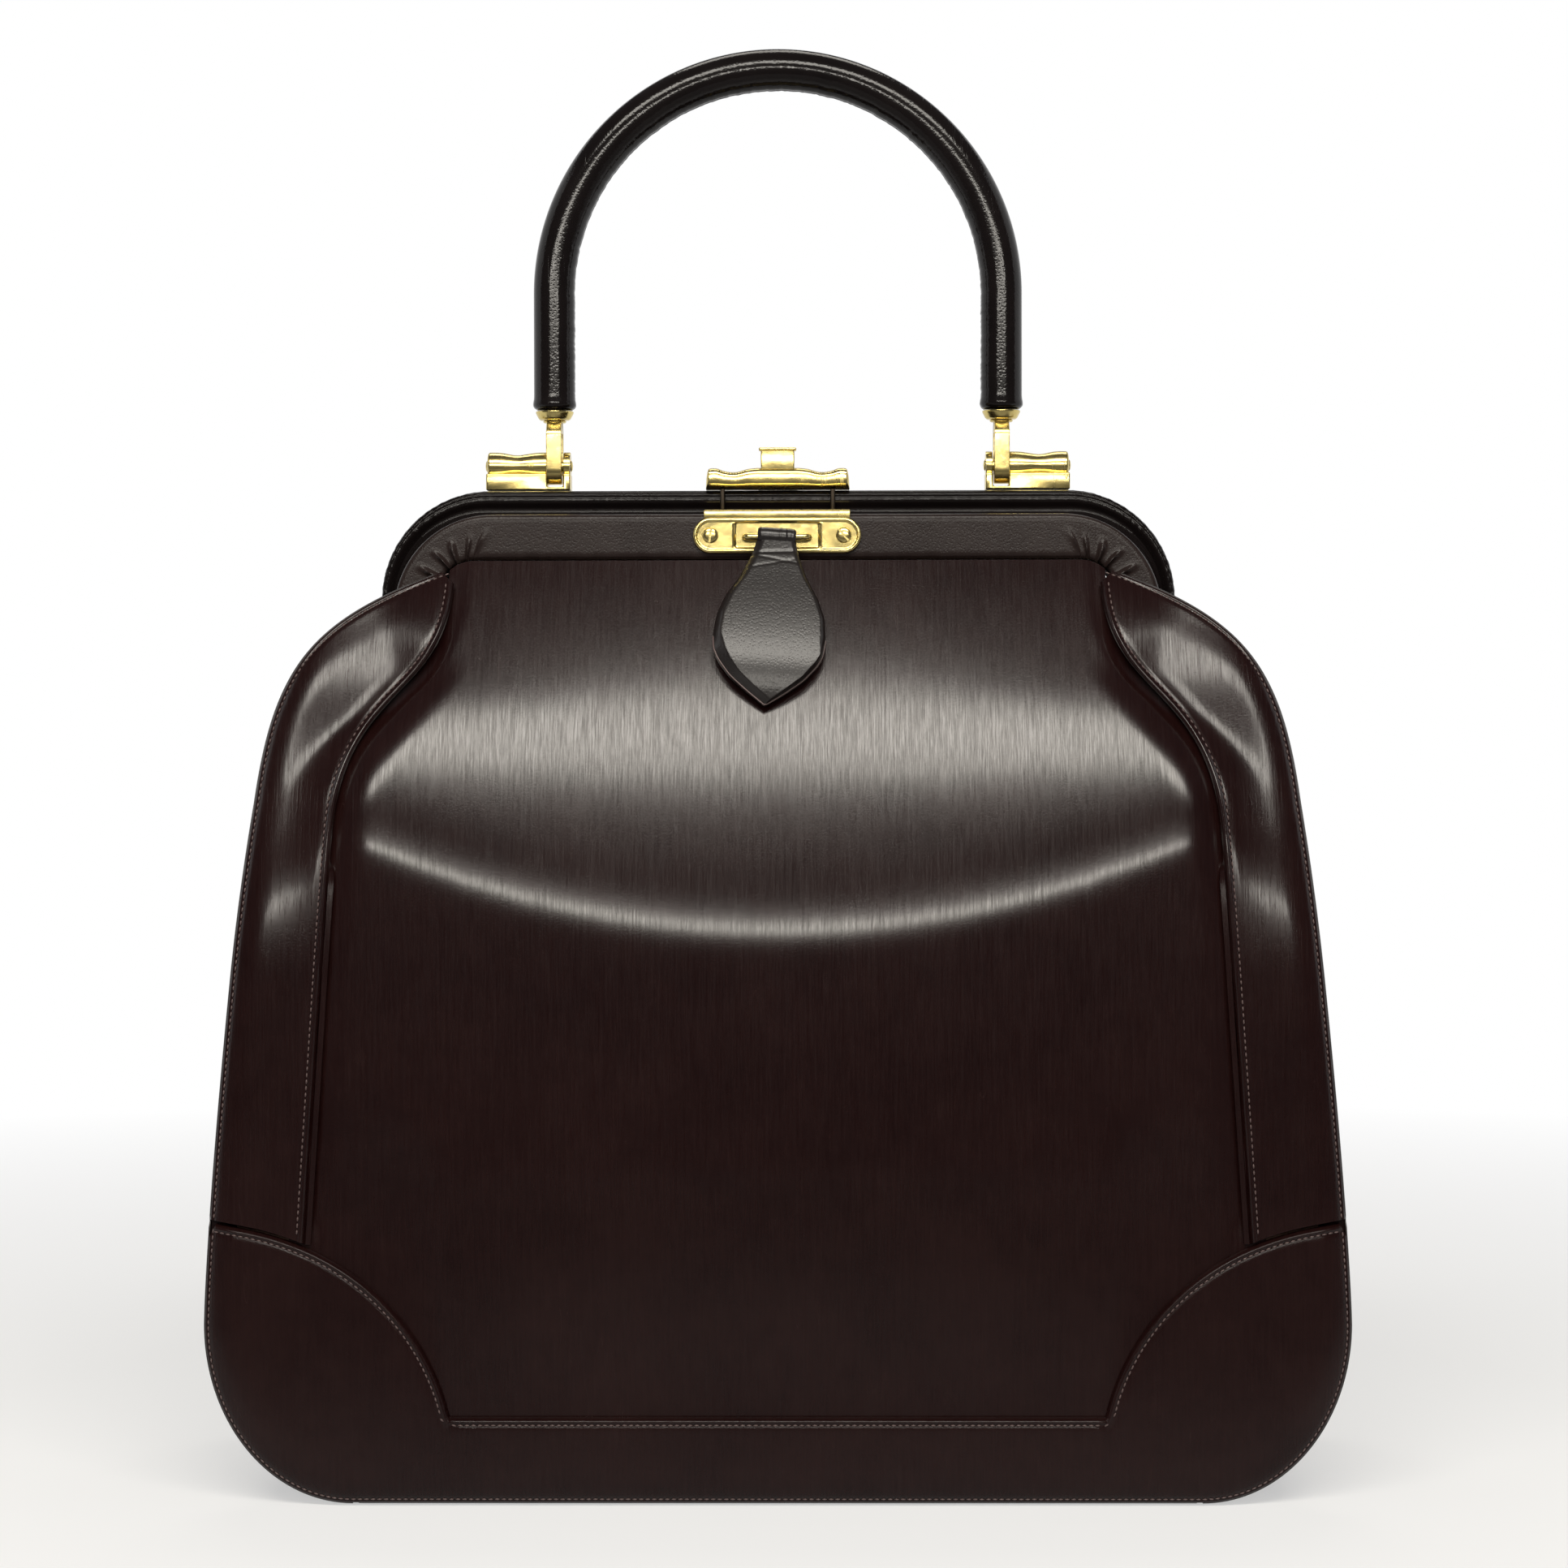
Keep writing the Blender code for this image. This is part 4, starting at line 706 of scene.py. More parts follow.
def layer_depth(x, height, inner_edge):
    """How far the upper leather layer stands from the middle plane."""
    x = np.abs(x)
    edge = distance_to(x, height, inner_edge)
    seam = distance_to(x, height, WHOLE_OUTLINE)
    fade = 1 - eased(height, *ROLL_ENDS)
    roll = ROLL * np.clip(1 - seam / ROLL_WIDTH, 0, 1) ** 2 * fade
    turned = TURNED_DROP * quarter_round(1 - edge / TURNED_RADIUS)
    bead = ridge(edge, *EDGE_BEAD)
    row = ridge(edge, *EDGE_GROOVE) + ridge(seam, *SEAM_GROOVE)
    cut = CUT_BEVEL * np.clip(1 - seam / CUT_BEVEL, 0, 1) ** 2
    swell = ridge(height, *SHOULDER_SWELL)
    return half_depth(height) + bulge(x, height) + swell + PROUD - roll - turned + bead - row - cut


EDGE_ZONE, ROLL_ZONE = 4 * MM, 8 * MM


def zoned(column, width):
    """Columns 0 to 1 lie in the turned edge, 1 to 2 between, and 2 to 3 in the roll to the seam."""
    fit = np.minimum(1, 0.9 * width / (EDGE_ZONE + ROLL_ZONE))
    inner, outer = EDGE_ZONE * fit, ROLL_ZONE * fit
    middle = inner + (column - 1) * (width - inner - outer)
    rolled = width - (3 - column) * outer
    return np.where(column < 1, column * inner, np.where(column < 2, middle, rolled))


STRIP_OUTER = OUTLINE[OUTLINE[:, 1] > PATCH_HEIGHT + 0.3 * MM]
strip_foot = panel_half_width(PATCH_HEIGHT)
STRIP_START = np.array([strip_foot, band_top(strip_foot) + BAND_CLEAR])
STRIP_SIDE = np.concatenate([[STRIP_START], PANEL_EDGE[PANEL_EDGE[:, 1] > PATCH_HEIGHT]])


def strip_place(column, row):
    near, far = along(STRIP_SIDE, row), along(STRIP_OUTER, row)
    width = np.linalg.norm(far - near, axis=1)
    share = zoned(column, width) / np.maximum(width, 1e-9)
    x, height = (near + (far - near) * share[:, None]).T
    lowest = band_top(x) + BAND_CLEAR
    straight = STRIP_SIDE[0][1] + (STRIP_OUTER[0][1] - STRIP_SIDE[0][1]) * share
    height = height + (lowest - straight) * (1 - row) ** 4
    return x, -layer_depth(x, height, STRIP_INNER), height


BAND_STRAIGHT = 0.3


def band_place(column, row):
    """Columns run from left patch to right patch, and rows from the band's edge to the seam."""
    side, reach = np.sign(column), np.abs(column)
    flat = (reach <= BAND_STRAIGHT)[:, None]
    share = np.clip((reach - BAND_STRAIGHT) / (1 - BAND_STRAIGHT), 0, 1)
    level = BAND_HALF * np.minimum(reach / BAND_STRAIGHT, 1)
    seam = np.concatenate([[(BAND_HALF, SEAM_LIFT)], OUTLINE[OUTLINE[:, 1] < PATCH_HEIGHT]])
    near = np.where(flat, points_of(level, BAND_HEIGHT), along(PATCH_EDGE, share))
    far = np.where(flat, points_of(level, SEAM_LIFT), along(seam, share))
    width = np.linalg.norm(far - near, axis=1)
    part = zoned(row, width) / np.maximum(width, 1e-9)
    x, height = (near + (far - near) * part[:, None]).T
    return side * x, -layer_depth(x, height, BAND_EDGE), height


edge_zone = np.array([0, 0.02, 0.05, 0.1, 0.16, 0.22, 0.28, 0.34, 0.4, 0.46, 0.52, 0.6, 0.75])
middle_zone = np.linspace(1, 2, 9)
seam_zone = 3 - np.array([1, 0.75, 0.55, 0.4, 0.3, 0.22, 0.18, 0.14, 0.1, 0.06, 0.03, 0.01, 0])
layer_zones = np.concatenate([edge_zone, middle_zone[:-1], seam_zone])
band_columns = np.concatenate(
    [
        np.linspace(-0.985, -0.3, 90)[:-1],
        np.linspace(-0.3, 0.3, 60),
        np.linspace(0.3, 0.985, 90)[1:],
    ]
)
strip_rows = np.linspace(0, 0.99, 130)
for side, facing in SIDES:
    bm = grid_mesh(band_place, band_columns, layer_zones, flip_y=facing > 0)
    bmesh.ops.reverse_faces(bm, faces=bm.faces)
    name, node = f"{side}_band_leather", f"{side}_bottom_band"
    finish_piece(name, thicken(bm, LEATHER), STRIP_LEATHER, "bag", "body_leather", node)
    for hand, sign in HANDS:
        bm = grid_mesh(strip_place, layer_zones, strip_rows, flip_x=sign < 0, flip_y=facing > 0)
        name, node = f"{side}_strip_leather_{hand}", f"{side}_side_strip_{hand}"
        thicken(bm, LEATHER)
        strip = finish_piece(name, bm, STRIP_LEATHER, fold_of(facing), "body_leather", node)
print("strip faces:", len(strip.data.polygons))

# %% [markdown]
# ## Gussets
#
# A gusset is the strip of leather that makes the side of the bag. It sits in from the outline, is
# hollowed a little along its middle, and turns outwards at both edges to meet the front and the
# back in a seam. The three layers show there as a painted cut edge.

# %% Gussets
GUSSET_INSET = 5 * MM
GUSSET_HOLLOW = 3 * MM
GUSSET_TOP = 0.865
GUSSET_DEEP = 30 * MM
GUSSET_CREASE = (0.7 * MM, 0, 0.05)
WALL_SHARE, RIM_SHARE = 0.9, 0.1
TANGENT_STEP = 0.01


def gusset_line(row):
    share = row * GUSSET_TOP
    point = along(OUTLINE, share)
    before = along(OUTLINE, np.maximum(share - TANGENT_STEP, 0))
    step = along(OUTLINE, share + TANGENT_STEP) - before
    step /= np.linalg.norm(step, axis=1)[:, None]
    return point, points_of(-step[:, 1], step[:, 0])


def gusset_place(u, v):
    point, inward = gusset_line(v)
    reach = np.abs(2 * u - 1)
    deep = eased(point[:, 1], 0, GUSSET_DEEP)
    seam = half_depth(point[:, 1]) + PROUD - ROLL - 2 * LEATHER - 0.3 * MM
    wall = seam - LEATHER
    turn = np.clip((reach - WALL_SHARE) / RIM_SHARE, 0, 1)
    rim = quarter_round(turn)
    rolled = wall + (seam - wall) * np.sin(turn * math.pi / 2)
    depth = np.where(reach > WALL_SHARE, rolled, wall * reach / WALL_SHARE)
    crease = ridge(reach, *GUSSET_CREASE) * eased(v, 0.1, 0.5)
    hollow = GUSSET_HOLLOW * (1 - np.minimum(reach / WALL_SHARE, 1) ** 2) + crease
    across = deep * (GUSSET_INSET * (1 - rim) + hollow)
    x, height = (point + inward * across[:, None]).T
    return x, np.sign(u - 0.5) * depth, height


turned_edge = np.linspace(0, 0.05, 9)
gusset_columns = np.concatenate(
    [turned_edge[:-1], np.linspace(0.05, 0.95, 49), 1 - turned_edge[::-1][1:]]
)
for hand, sign in HANDS:
    bm = grid_mesh(gusset_place, gusset_columns, np.linspace(0, 1, 110), flip_x=sign < 0)
    name, node = f"gusset_leather_{hand}", f"gusset_{hand}"
    thicken(bm, LEATHER)
    gusset = finish_piece(name, bm, STRIP_LEATHER, SIDE_FOLD, "body_leather", node)
print("gusset faces:", len(gusset.data.polygons))

# %% [markdown]
# ## Lining, base and board
#
# The inside shows only when the bag is open: a woven lining glued to the panels and gussets, and a
# covered board on the floor. The base under it is one flat piece of leather with rounded edges.


# %% Lining
LINING = 1.0 * MM
LINING_GAP = 1.1 * MM
LINING_FLOOR = 5.0 * MM
LINING_INSET = 6.6 * MM
LINING_NARROWS = (165 * MM, 222 * MM)
GUSSET_LINING_START = 0.16


def lining_place(u, v):
    height = LINING_FLOOR + (MOUTH - LINING_FLOOR) * v
    wide = outline_half_width(height) - LINING_INSET
    x = u * (wide + (panel_half_width(height) - wide) * eased(height, *LINING_NARROWS))
    height = np.minimum(height, mouth_line(x))
    return x, -half_depth(height) - bulge(x, height) + LEATHER + LINING_GAP, height


def gusset_lining_place(u, v):
    point, inward = gusset_line(GUSSET_LINING_START + (1 - GUSSET_LINING_START) * v)
    reach = np.abs(2 * u - 1)
    deep = eased(point[:, 1], 0, GUSSET_DEEP)
    across = deep * (GUSSET_INSET + GUSSET_HOLLOW * (1 - reach**2)) + LEATHER + LINING_GAP
    x, height = (point + inward * across[:, None]).T
    return x, np.sign(u - 0.5) * (half_depth(height) - GUSSET_INSET - LEATHER) * reach, height


def cut_of(place, columns, rows):
    """The width and length that a lining is cut to: its longest row and its middle column."""
    middle = np.full(len(rows), np.median(columns))
    length = run_of(points_of(*place(middle, rows)))[-1]
    crosswise = (points_of(*place(columns, np.full(len(columns), row))) for row in rows)
    return max(run_of(line)[-1] for line in crosswise), length


def add_lining(name, place, columns, rows, body, node, glued_to, **flips):
    """A lining on the inside of a leather piece, with the size of the cloth it is cut from printed.
    """
    bm = grid_mesh(place, columns, rows, **flips)
    area = sum(face.calc_area() for face in bm.faces)
    lining = finish_piece(name, thicken(bm, LINING), LINING_CLOTH, body, "lining_fabric", node)
    width, length = cut_of(place, columns, rows)
    print(f"{name}: {width * 1000:.0f} x {length * 1000:.0f} mm, {area * 1e4:.0f} square cm")


rows = np.linspace(0, 1, 61)
for side, facing in SIDES:
    add_lining(
        f"{side}_lining_cloth", lining_place, np.linspace(-1, 1, 61), rows, fold_of(facing),
        f"{side}_lining", f"{side}_panel_leather", flip_y=facing > 0,
    )
for hand, sign in HANDS:
    add_lining(
        f"gusset_lining_cloth_{hand}", gusset_lining_place, np.linspace(0, 1, 31), rows, SIDE_FOLD,
        f"gusset_lining_{hand}", f"gusset_leather_{hand}", flip_x=sign < 0,
    )

# %% [markdown]
# ## Stitches
#
# The bag has about six stitches to the centimetre along every edge. Each one here is a small
# drawn-out ball laid along its row, half sunk into the groove that the leather already has. A ball
# of twenty faces is enough at this size, for the rows need 1,750 of them.


# %% Rows of stitches
def row_beside(line, offset, start, stop):
    """Evenly spaced places beside a flat line, offset to its right."""
    run = run_of(line)
    places = np.arange(start, run[-1] - stop, STITCH_PITCH)
    at, ahead, behind = (
        points_of(*(np.interp(places + shift, run, column) for column in line.T))
        for shift in (0, STITCH_PITCH / 2, -STITCH_PITCH / 2)
    )
    step = ahead - behind
    step /= np.linalg.norm(step, axis=1)[:, None]
    return at + offset * points_of(step[:, 1], -step[:, 0])


STITCH_PROUD = 0.12 * MM
STITCH_LENGTH, STITCH_RADIUS = 0.66 * MM, 0.23 * MM


def add_stitches(bm, row, inner_edge, signs, facing):
    depth = layer_depth(row[:, 0], row[:, 1], inner_edge) + STITCH_PROUD
    places = points_of(row[:, 0], -depth, row[:, 1])
    size = Matrix.Diagonal((STITCH_LENGTH, STITCH_RADIUS, STITCH_RADIUS, 1))
    for sign in signs:
        flip = Vector((sign, -facing, 1))
        for place, step in zip(places, np.gradient(places, axis=0)):
            turn = (Vector(step) * flip).to_track_quat("X", "Z").to_matrix().to_4x4()
            matrix = Matrix.Translation(Vector(place) * flip) @ turn @ size
            bmesh.ops.create_icosphere(bm, subdivisions=1, radius=1, matrix=matrix)


def mirrored(line):
    """A line over both halves of the front, from left to right."""
    return np.concatenate([line[::-1] * (-1, 1), line])


strip_line = np.concatenate([[(panel_half_width(60 * MM), 60 * MM)], PANEL_EDGE[1:]])
inner_row = row_beside(strip_line, EDGE_ROW, 4 * MM, 2 * MM)
inner_row = inner_row[inner_row[:, 1] > band_top(inner_row[:, 0]) + 1.5 * MM]
seam_row = row_beside(OUTLINE[OUTLINE[:, 1] > PATCH_HEIGHT], -SEAM_ROW, 1 * MM, 0)
band_row = row_beside(mirrored(PATCH_EDGE), EDGE_ROW, 2 * MM, 2 * MM)
base_line = mirrored(OUTLINE[OUTLINE[:, 1] < PATCH_HEIGHT])
base_row = row_beside(base_line, -SEAM_ROW, 0.5 * MM, 1 * MM)
for side, facing in SIDES:
    for part, rows, edge, signs, body in (
        ("strip", (inner_row, seam_row), STRIP_INNER, (-1, 1), fold_of(facing)),
        ("band", (band_row, base_row), BAND_EDGE, (1,), "bag"),
    ):
        bm = bmesh.new()
        for row in rows:
            add_stitches(bm, row, edge, signs, facing)
        print(f"{side}_{part}_stitches:", len(bm.faces) // 20)
        finish_piece(f"{side}_{part}_stitches", bm, THREAD_AND_EDGE_HIGHLIGHT, body, "body_leather")

# %% [markdown]
# ## Painted seam edges
#
# Where the front meets the gusset, the stacked leather edges are sanded and painted as one rounded
# bead. It is a small oval swept along the outline, and in the side view it is what tells leather
# from a moulded shell.


# %% Sweeping a section along a path
def closed_up(bm):
    """Welds a swept grid along its length and closes its ends."""
    bmesh.ops.remove_doubles(bm, verts=bm.verts, dist=0.004 * MM)
    bmesh.ops.holes_fill(bm, edges=[edge for edge in bm.edges if edge.is_boundary])
    bmesh.ops.recalc_face_normals(bm, faces=bm.faces)
    return bm


def sweep(path, binormal, section):
    """Carries a section, or one for each step, along a path. It reads (outwards, binormal)."""
    path = np.asarray(path, float)
    step = np.gradient(path, axis=0)
    step /= np.linalg.norm(step, axis=1)[:, None]
    side = np.cross(step, binormal)
    side /= np.linalg.norm(side, axis=1)[:, None]
    section = np.broadcast_to(section, (len(path), *np.shape(section)[-2:]))
    ring = section.shape[1]

    def place(column, row):
        at, index = np.rint(column).astype(int), np.rint(row).astype(int) % ring
        out, across = section[at, index].T
        return (path[at] + side[at] * out[:, None] + np.asarray(binormal) * across[:, None]).T

    return closed_up(grid_mesh(place, np.arange(len(path)), np.arange(ring + 1)))


def full_turn(steps):
    return np.linspace(0, 2 * math.pi, steps, endpoint=False)


def circle(radius, turn, flat=1.0):
    return points_of(radius * np.cos(turn) * flat, radius * np.sin(turn))


# %% The painted beads
bead = along(OUTLINE, np.linspace(0.0, 0.985, 180))
middle = layer_depth(bead[:, 0], bead[:, 1], BAND_EDGE) - 1.25 * MM
oval = circle(1.45 * MM, full_turn(14), 0.24)
for side, facing in SIDES:
    for hand, sign in HANDS:
        bm = sweep(points_of(sign * bead[:, 0], facing * middle, bead[:, 1]), (0, 1, 0), oval)
        finish_piece(f"{side}_seam_edge_{hand}", bm, CUT_EDGE, fold_of(facing), "body_leather")
print("a bead of", len(bead), "steps")

# %% [markdown]
# ## The two covered frames
#
# Each frame is a metal arch wrapped in leather. Its section is a rounded rectangle that runs from
# the outer edge of the arch to the inner one, and it is swept along the arch: up one leg, round a
# corner, along the rail and down again. The leather is gathered in pleats at the front frame's
# inner corners, and crinkles over the ring's bends.


# %% Lines and sections of the arches
ARCH_STEPS = 90
RAIL_FOOT = 194 * MM
LOWER_EDGE = 232.5 * MM
FRAME_DEPTH = 14.5 * MM


def arch_line(half, top, corner):
    """An arch from its left foot, up, over and down to its right foot."""
    turn = np.linspace(0, math.pi / 2, ARCH_STEPS)
    bend = points_of(half - corner + corner * np.cos(turn), top - corner + corner * np.sin(turn))
    leg = points_of(half, np.linspace(RAIL_FOOT, top - corner, ARCH_STEPS))
    rail = points_of(np.linspace(half - corner, 0, ARCH_STEPS), top)
    right = np.concatenate([leg[:-1], bend, rail[1:]])
    return np.concatenate([right * (-1, 1), right[::-1][1:]])


def rounded(points, radius, steps=5, closed=True):
    """A flat outline with each corner turned into an arc."""
    points = [np.asarray(point, float) for point in points]
    made = []
    for index, point in enumerate(points):
        if not closed and index in (0, len(points) - 1):
            made.append([point])
            continue
        before, after = points[index - 1], points[(index + 1) % len(points)]
        back, ahead = before - point, after - point
        reach = min(radius, np.linalg.norm(back) / 2, np.linalg.norm(ahead) / 2)
        first = point + back / np.linalg.norm(back) * reach
        last = point + ahead / np.linalg.norm(ahead) * reach
        share = np.linspace(0, 1, steps)[:, None]
        made.append((1 - share) ** 2 * first + 2 * share * (1 - share) * point + share**2 * last)
    return np.concatenate(made)


def rectangle(low, high):
    return [(low[0], low[1]), (high[0], low[1]), (high[0], high[1]), (low[0], high[1])]


def subdivided(points, most):
    """A closed outline with its long sides cut up."""
    made = []
    for first, second in zip(points, np.roll(points, -1, axis=0)):
        count = max(int(np.linalg.norm(second - first) / most), 1)
        made.append(first + (second - first) * np.arange(count)[:, None] / count)
    return np.concatenate(made)


def frame_section(width, radius, steps, most):
    """A frame's section. Its first number is a share of the way from the arch's outer edge."""
    corners = rounded(rectangle((0, 0), (width, FRAME_DEPTH)), radius, steps)
    return subdivided(corners, most) / (width, 1)


def swept_arch(outer, inner, section, front, shape):
    """Carries a section along the two edges of an arch. shape moves it outwards and forwards."""
    ring = len(section)

    def place(column, row):
        step, index = np.rint(column).astype(int), np.rint(row).astype(int) % ring
        share, depth = section[index].T
        near, far = outer[step], inner[step]
        inwards = (far - near) / np.linalg.norm(far - near, axis=1)[:, None]
        turn = 1 - np.abs(step - (len(outer) - 1) / 2) / (len(outer) - 1) * 2
        move, proud = shape(step, turn * 3 - 1, share, depth)
        spot = near + (far - near) * share[:, None] - inwards * move[:, None]
        return spot[:, 0], front + depth - proud, spot[:, 1]

    return closed_up(grid_mesh(place, np.arange(len(outer)), np.arange(ring + 1)))


# %% The front frame, with its pleats
chance = np.random.default_rng(7)
# Each pleat has its place round the corner, its width and its height.
PLEATS = (
    (0.16, 0.9, 0.8), (0.34, 1.1, 1.0), (0.52, 1.0, 0.9),
    (0.70, 1.2, 1.1), (0.86, 0.8, 0.7), (1.0, 0.6, 0.4),
)


def pleats(step, turn, share, depth):
    """Gathers on the front face. turn is 0 at the top of the leg and 1 at the start of the rail."""
    face = eased(-depth, -5 * MM, -0.6 * MM)
    folds = 0
    for middle, wide, tall in PLEATS:
        wander = 0.012 * np.sin(share * 5 + middle * 20)
        fan = bump(turn, middle + wander, 0.024 * wide)
        folds = folds + tall * fan * eased(share, 0.30 + 0.1 * math.sin(middle * 31), 0.72)
    hem = 0.12 * MM * np.sin(step * 1.7 + np.sin(step * 0.37) * 3) * bump(share, 1, 0.08)
    return 0 * share, 1.35 * MM * face * folds + hem * face


arches = arch_line(97 * MM, 244 * MM, 25 * MM), arch_line(85.5 * MM, LOWER_EDGE, 9 * MM)
section = frame_section(11.5 * MM, 1.6 * MM, 5, 0.6 * MM)
bm = swept_arch(*arches, section, -15 * MM, pleats)
front_cover = finish_piece(
    "front_frame_cover", bm, FRAME_LEATHER, "front_frame", "frame_leather", "front_frame_leather"
)

# %% The back frame, with its crinkled ring
rough = chance.normal(0, 1, 6 * ARCH_STEPS)


def ring_shape(step, turn, share, depth):
    """Two beads along the ring's front edge, and crinkles where it bends."""
    bend = eased(turn, -0.5, 0.1) * eased(-turn, -1.3, -0.75)
    rim = bump(share, 0.02, 0.16) * eased(-depth, -9 * MM, -2 * MM)
    groove = -0.5 * MM * bump(share, 0.10, 0.035) - 1.7 * MM * bump(share, 0.27, 0.09)
    groove = groove * eased(-depth, -4 * MM, -1 * MM)
    short_folds = np.sin(step * 1.35 + rough[step] + 5 * np.sin(depth * 700))
    long_folds = 0.6 * np.sin(step * 0.8 + share * 25)
    crinkle = 0.035 * MM * bend * rim * (short_folds + long_folds)
    return crinkle, groove + crinkle


arches = arch_line(102 * MM, 251 * MM, 28 * MM), arch_line(90 * MM, LOWER_EDGE, 12 * MM)
section = frame_section(18.5 * MM, 2.6 * MM, 9, 0.7 * MM)
bm = swept_arch(*arches, section, 0.5 * MM, ring_shape)
back_cover = finish_piece(
    "back_frame_cover", bm, RING_LEATHER, "bag", "frame_leather", "back_frame_leather"
)
print("frame faces:", len(front_cover.data.polygons), len(back_cover.data.polygons))

# %% [markdown]
# ## The handle
#
# The handle is a cord core wrapped in one piece of glossy leather, sewn shut along its inner side.
# It is a ring swept along an arch, with a slight groove for the seam and small wrinkles where the
# leather is squeezed on the inside of the curve.

# %% The wrapped handle
PIVOT_Y = 7.75 * MM
HANDLE_HALF = 57.7 * MM
HANDLE_CENTRE = 302 * MM
HANDLE_FOOT = 272.1 * MM
HANDLE_RADIUS = 5.35 * MM
leg = np.linspace(HANDLE_FOOT, HANDLE_CENTRE, 60)
bow = np.linspace(0, math.pi, 220)
left_leg = points_of(-HANDLE_HALF, PIVOT_Y, leg)
right_leg = points_of(HANDLE_HALF, PIVOT_Y, leg[::-1])
bow = points_of(
    -HANDLE_HALF * np.cos(bow), PIVOT_Y, HANDLE_CENTRE + HANDLE_HALF * np.sin(bow)
)
handle_line = np.concatenate([left_leg[:-1], bow, right_leg[1:]])
turn = full_turn(64)
inner_side = eased(-np.cos(turn), 0.1, 1.0)
ends = np.minimum(np.arange(len(handle_line)), np.arange(len(handle_line))[::-1])[:, None]
wrinkle = chance.normal(0, 1, (len(handle_line), 1))
seam = -0.35 * MM * bump(turn, math.pi, 0.09)
hem = 0.25 * MM * bump(ends, 3, 2.2) - 0.9 * MM * bump(ends, 0, 0.9)
radius = HANDLE_RADIUS + hem + seam + 0.05 * MM * wrinkle * inner_side
bm = sweep(handle_line, (0, 1, 0), circle(radius, turn))
handle_cover = finish_piece(
    "handle_cover", bm, GLOSSY_LEATHER, "handle", "handle_leather", "handle_leather", "handle_core"
)
print("handle faces:", len(handle_cover.data.polygons))

# %% [markdown]
# ## Turned, bent and cut gold
#
# The fittings are cast or stamped brass, polished and gold plated, so no edge on them is sharp.
# Three helpers follow the three ways they are made: a profile turned round an axis, a flat blank
# with its edges broken, and a section swept along a bent rod.


# %% Helpers for the fittings
def in_mm(points):
    return np.array(points, float) * MM


def turned_piece(profile, origin, axis, sides=48, rounding=0.25 * MM):
    """A profile of (radius, height) turned round an axis."""
    profile = rounded(profile, rounding, 4, closed=False)
    bm = bmesh.new()
    line = [bm.verts.new((radius, 0, height)) for radius, height in profile]
    edges = [bm.edges.new(pair) for pair in zip(line[:-1], line[1:])]
    bmesh.ops.spin(
        bm, geom=line + edges, axis=(0, 0, 1), angle=2 * math.pi, steps=sides, use_merge=True
    )
    bmesh.ops.remove_doubles(bm, verts=bm.verts, dist=0.003 * MM)
    bmesh.ops.recalc_face_normals(bm, faces=bm.faces)
    turn = Vector((0, 0, 1)).rotation_difference(Vector(axis)).to_matrix().to_4x4()
    bmesh.ops.transform(bm, verts=bm.verts, matrix=Matrix.Translation(origin) @ turn)
    return bm


FACINGS = {"X": lambda deep, a, b: (deep, a, b), "Y": lambda deep, a, b: (a, deep, b)}


def blank(outline, low, high, facing, edge=0.25 * MM):
    """A flat blank between two depths, with its edges broken."""
    bm = bmesh.new()
    put = FACINGS[facing]
    face = bm.faces.new([bm.verts.new(put(low, *point)) for point in outline])
    raised = verts_of(bmesh.ops.extrude_face_region(bm, geom=[face]))
    bmesh.ops.translate(bm, verts=raised, vec=put(high - low, 0, 0))
    bmesh.ops.recalc_face_normals(bm, faces=bm.faces)
    sharp = [e for e in bm.edges if e.calc_face_angle(0) > math.radians(40)]
    bmesh.ops.bevel(
        bm, geom=sharp, offset=edge, segments=3, profile=0.5, affect="EDGES", material=-1,
        clamp_overlap=True,
    )
    return bm


def joined(*parts):
    """One bmesh out of several."""
    whole = parts[0]
    for part in parts[1:]:
        mesh = bpy.data.meshes.new("part")
        part.to_mesh(mesh)
        part.free()
        whole.from_mesh(mesh)
        bpy.data.meshes.remove(mesh)
    return whole


def fitting(name, bm, body, *nodes):
    finish_piece(name, bm, GOLD, body, "gold", *nodes, sharp=32)


# %% [markdown]
# ## Brackets, lugs and ferrules
#
# Each foot of the handle ends in a gold ferrule. Below it a strap is bent into a long loop round a
# pin, and the pin turns in a bracket whose outer part is a turned barrel with a waist.

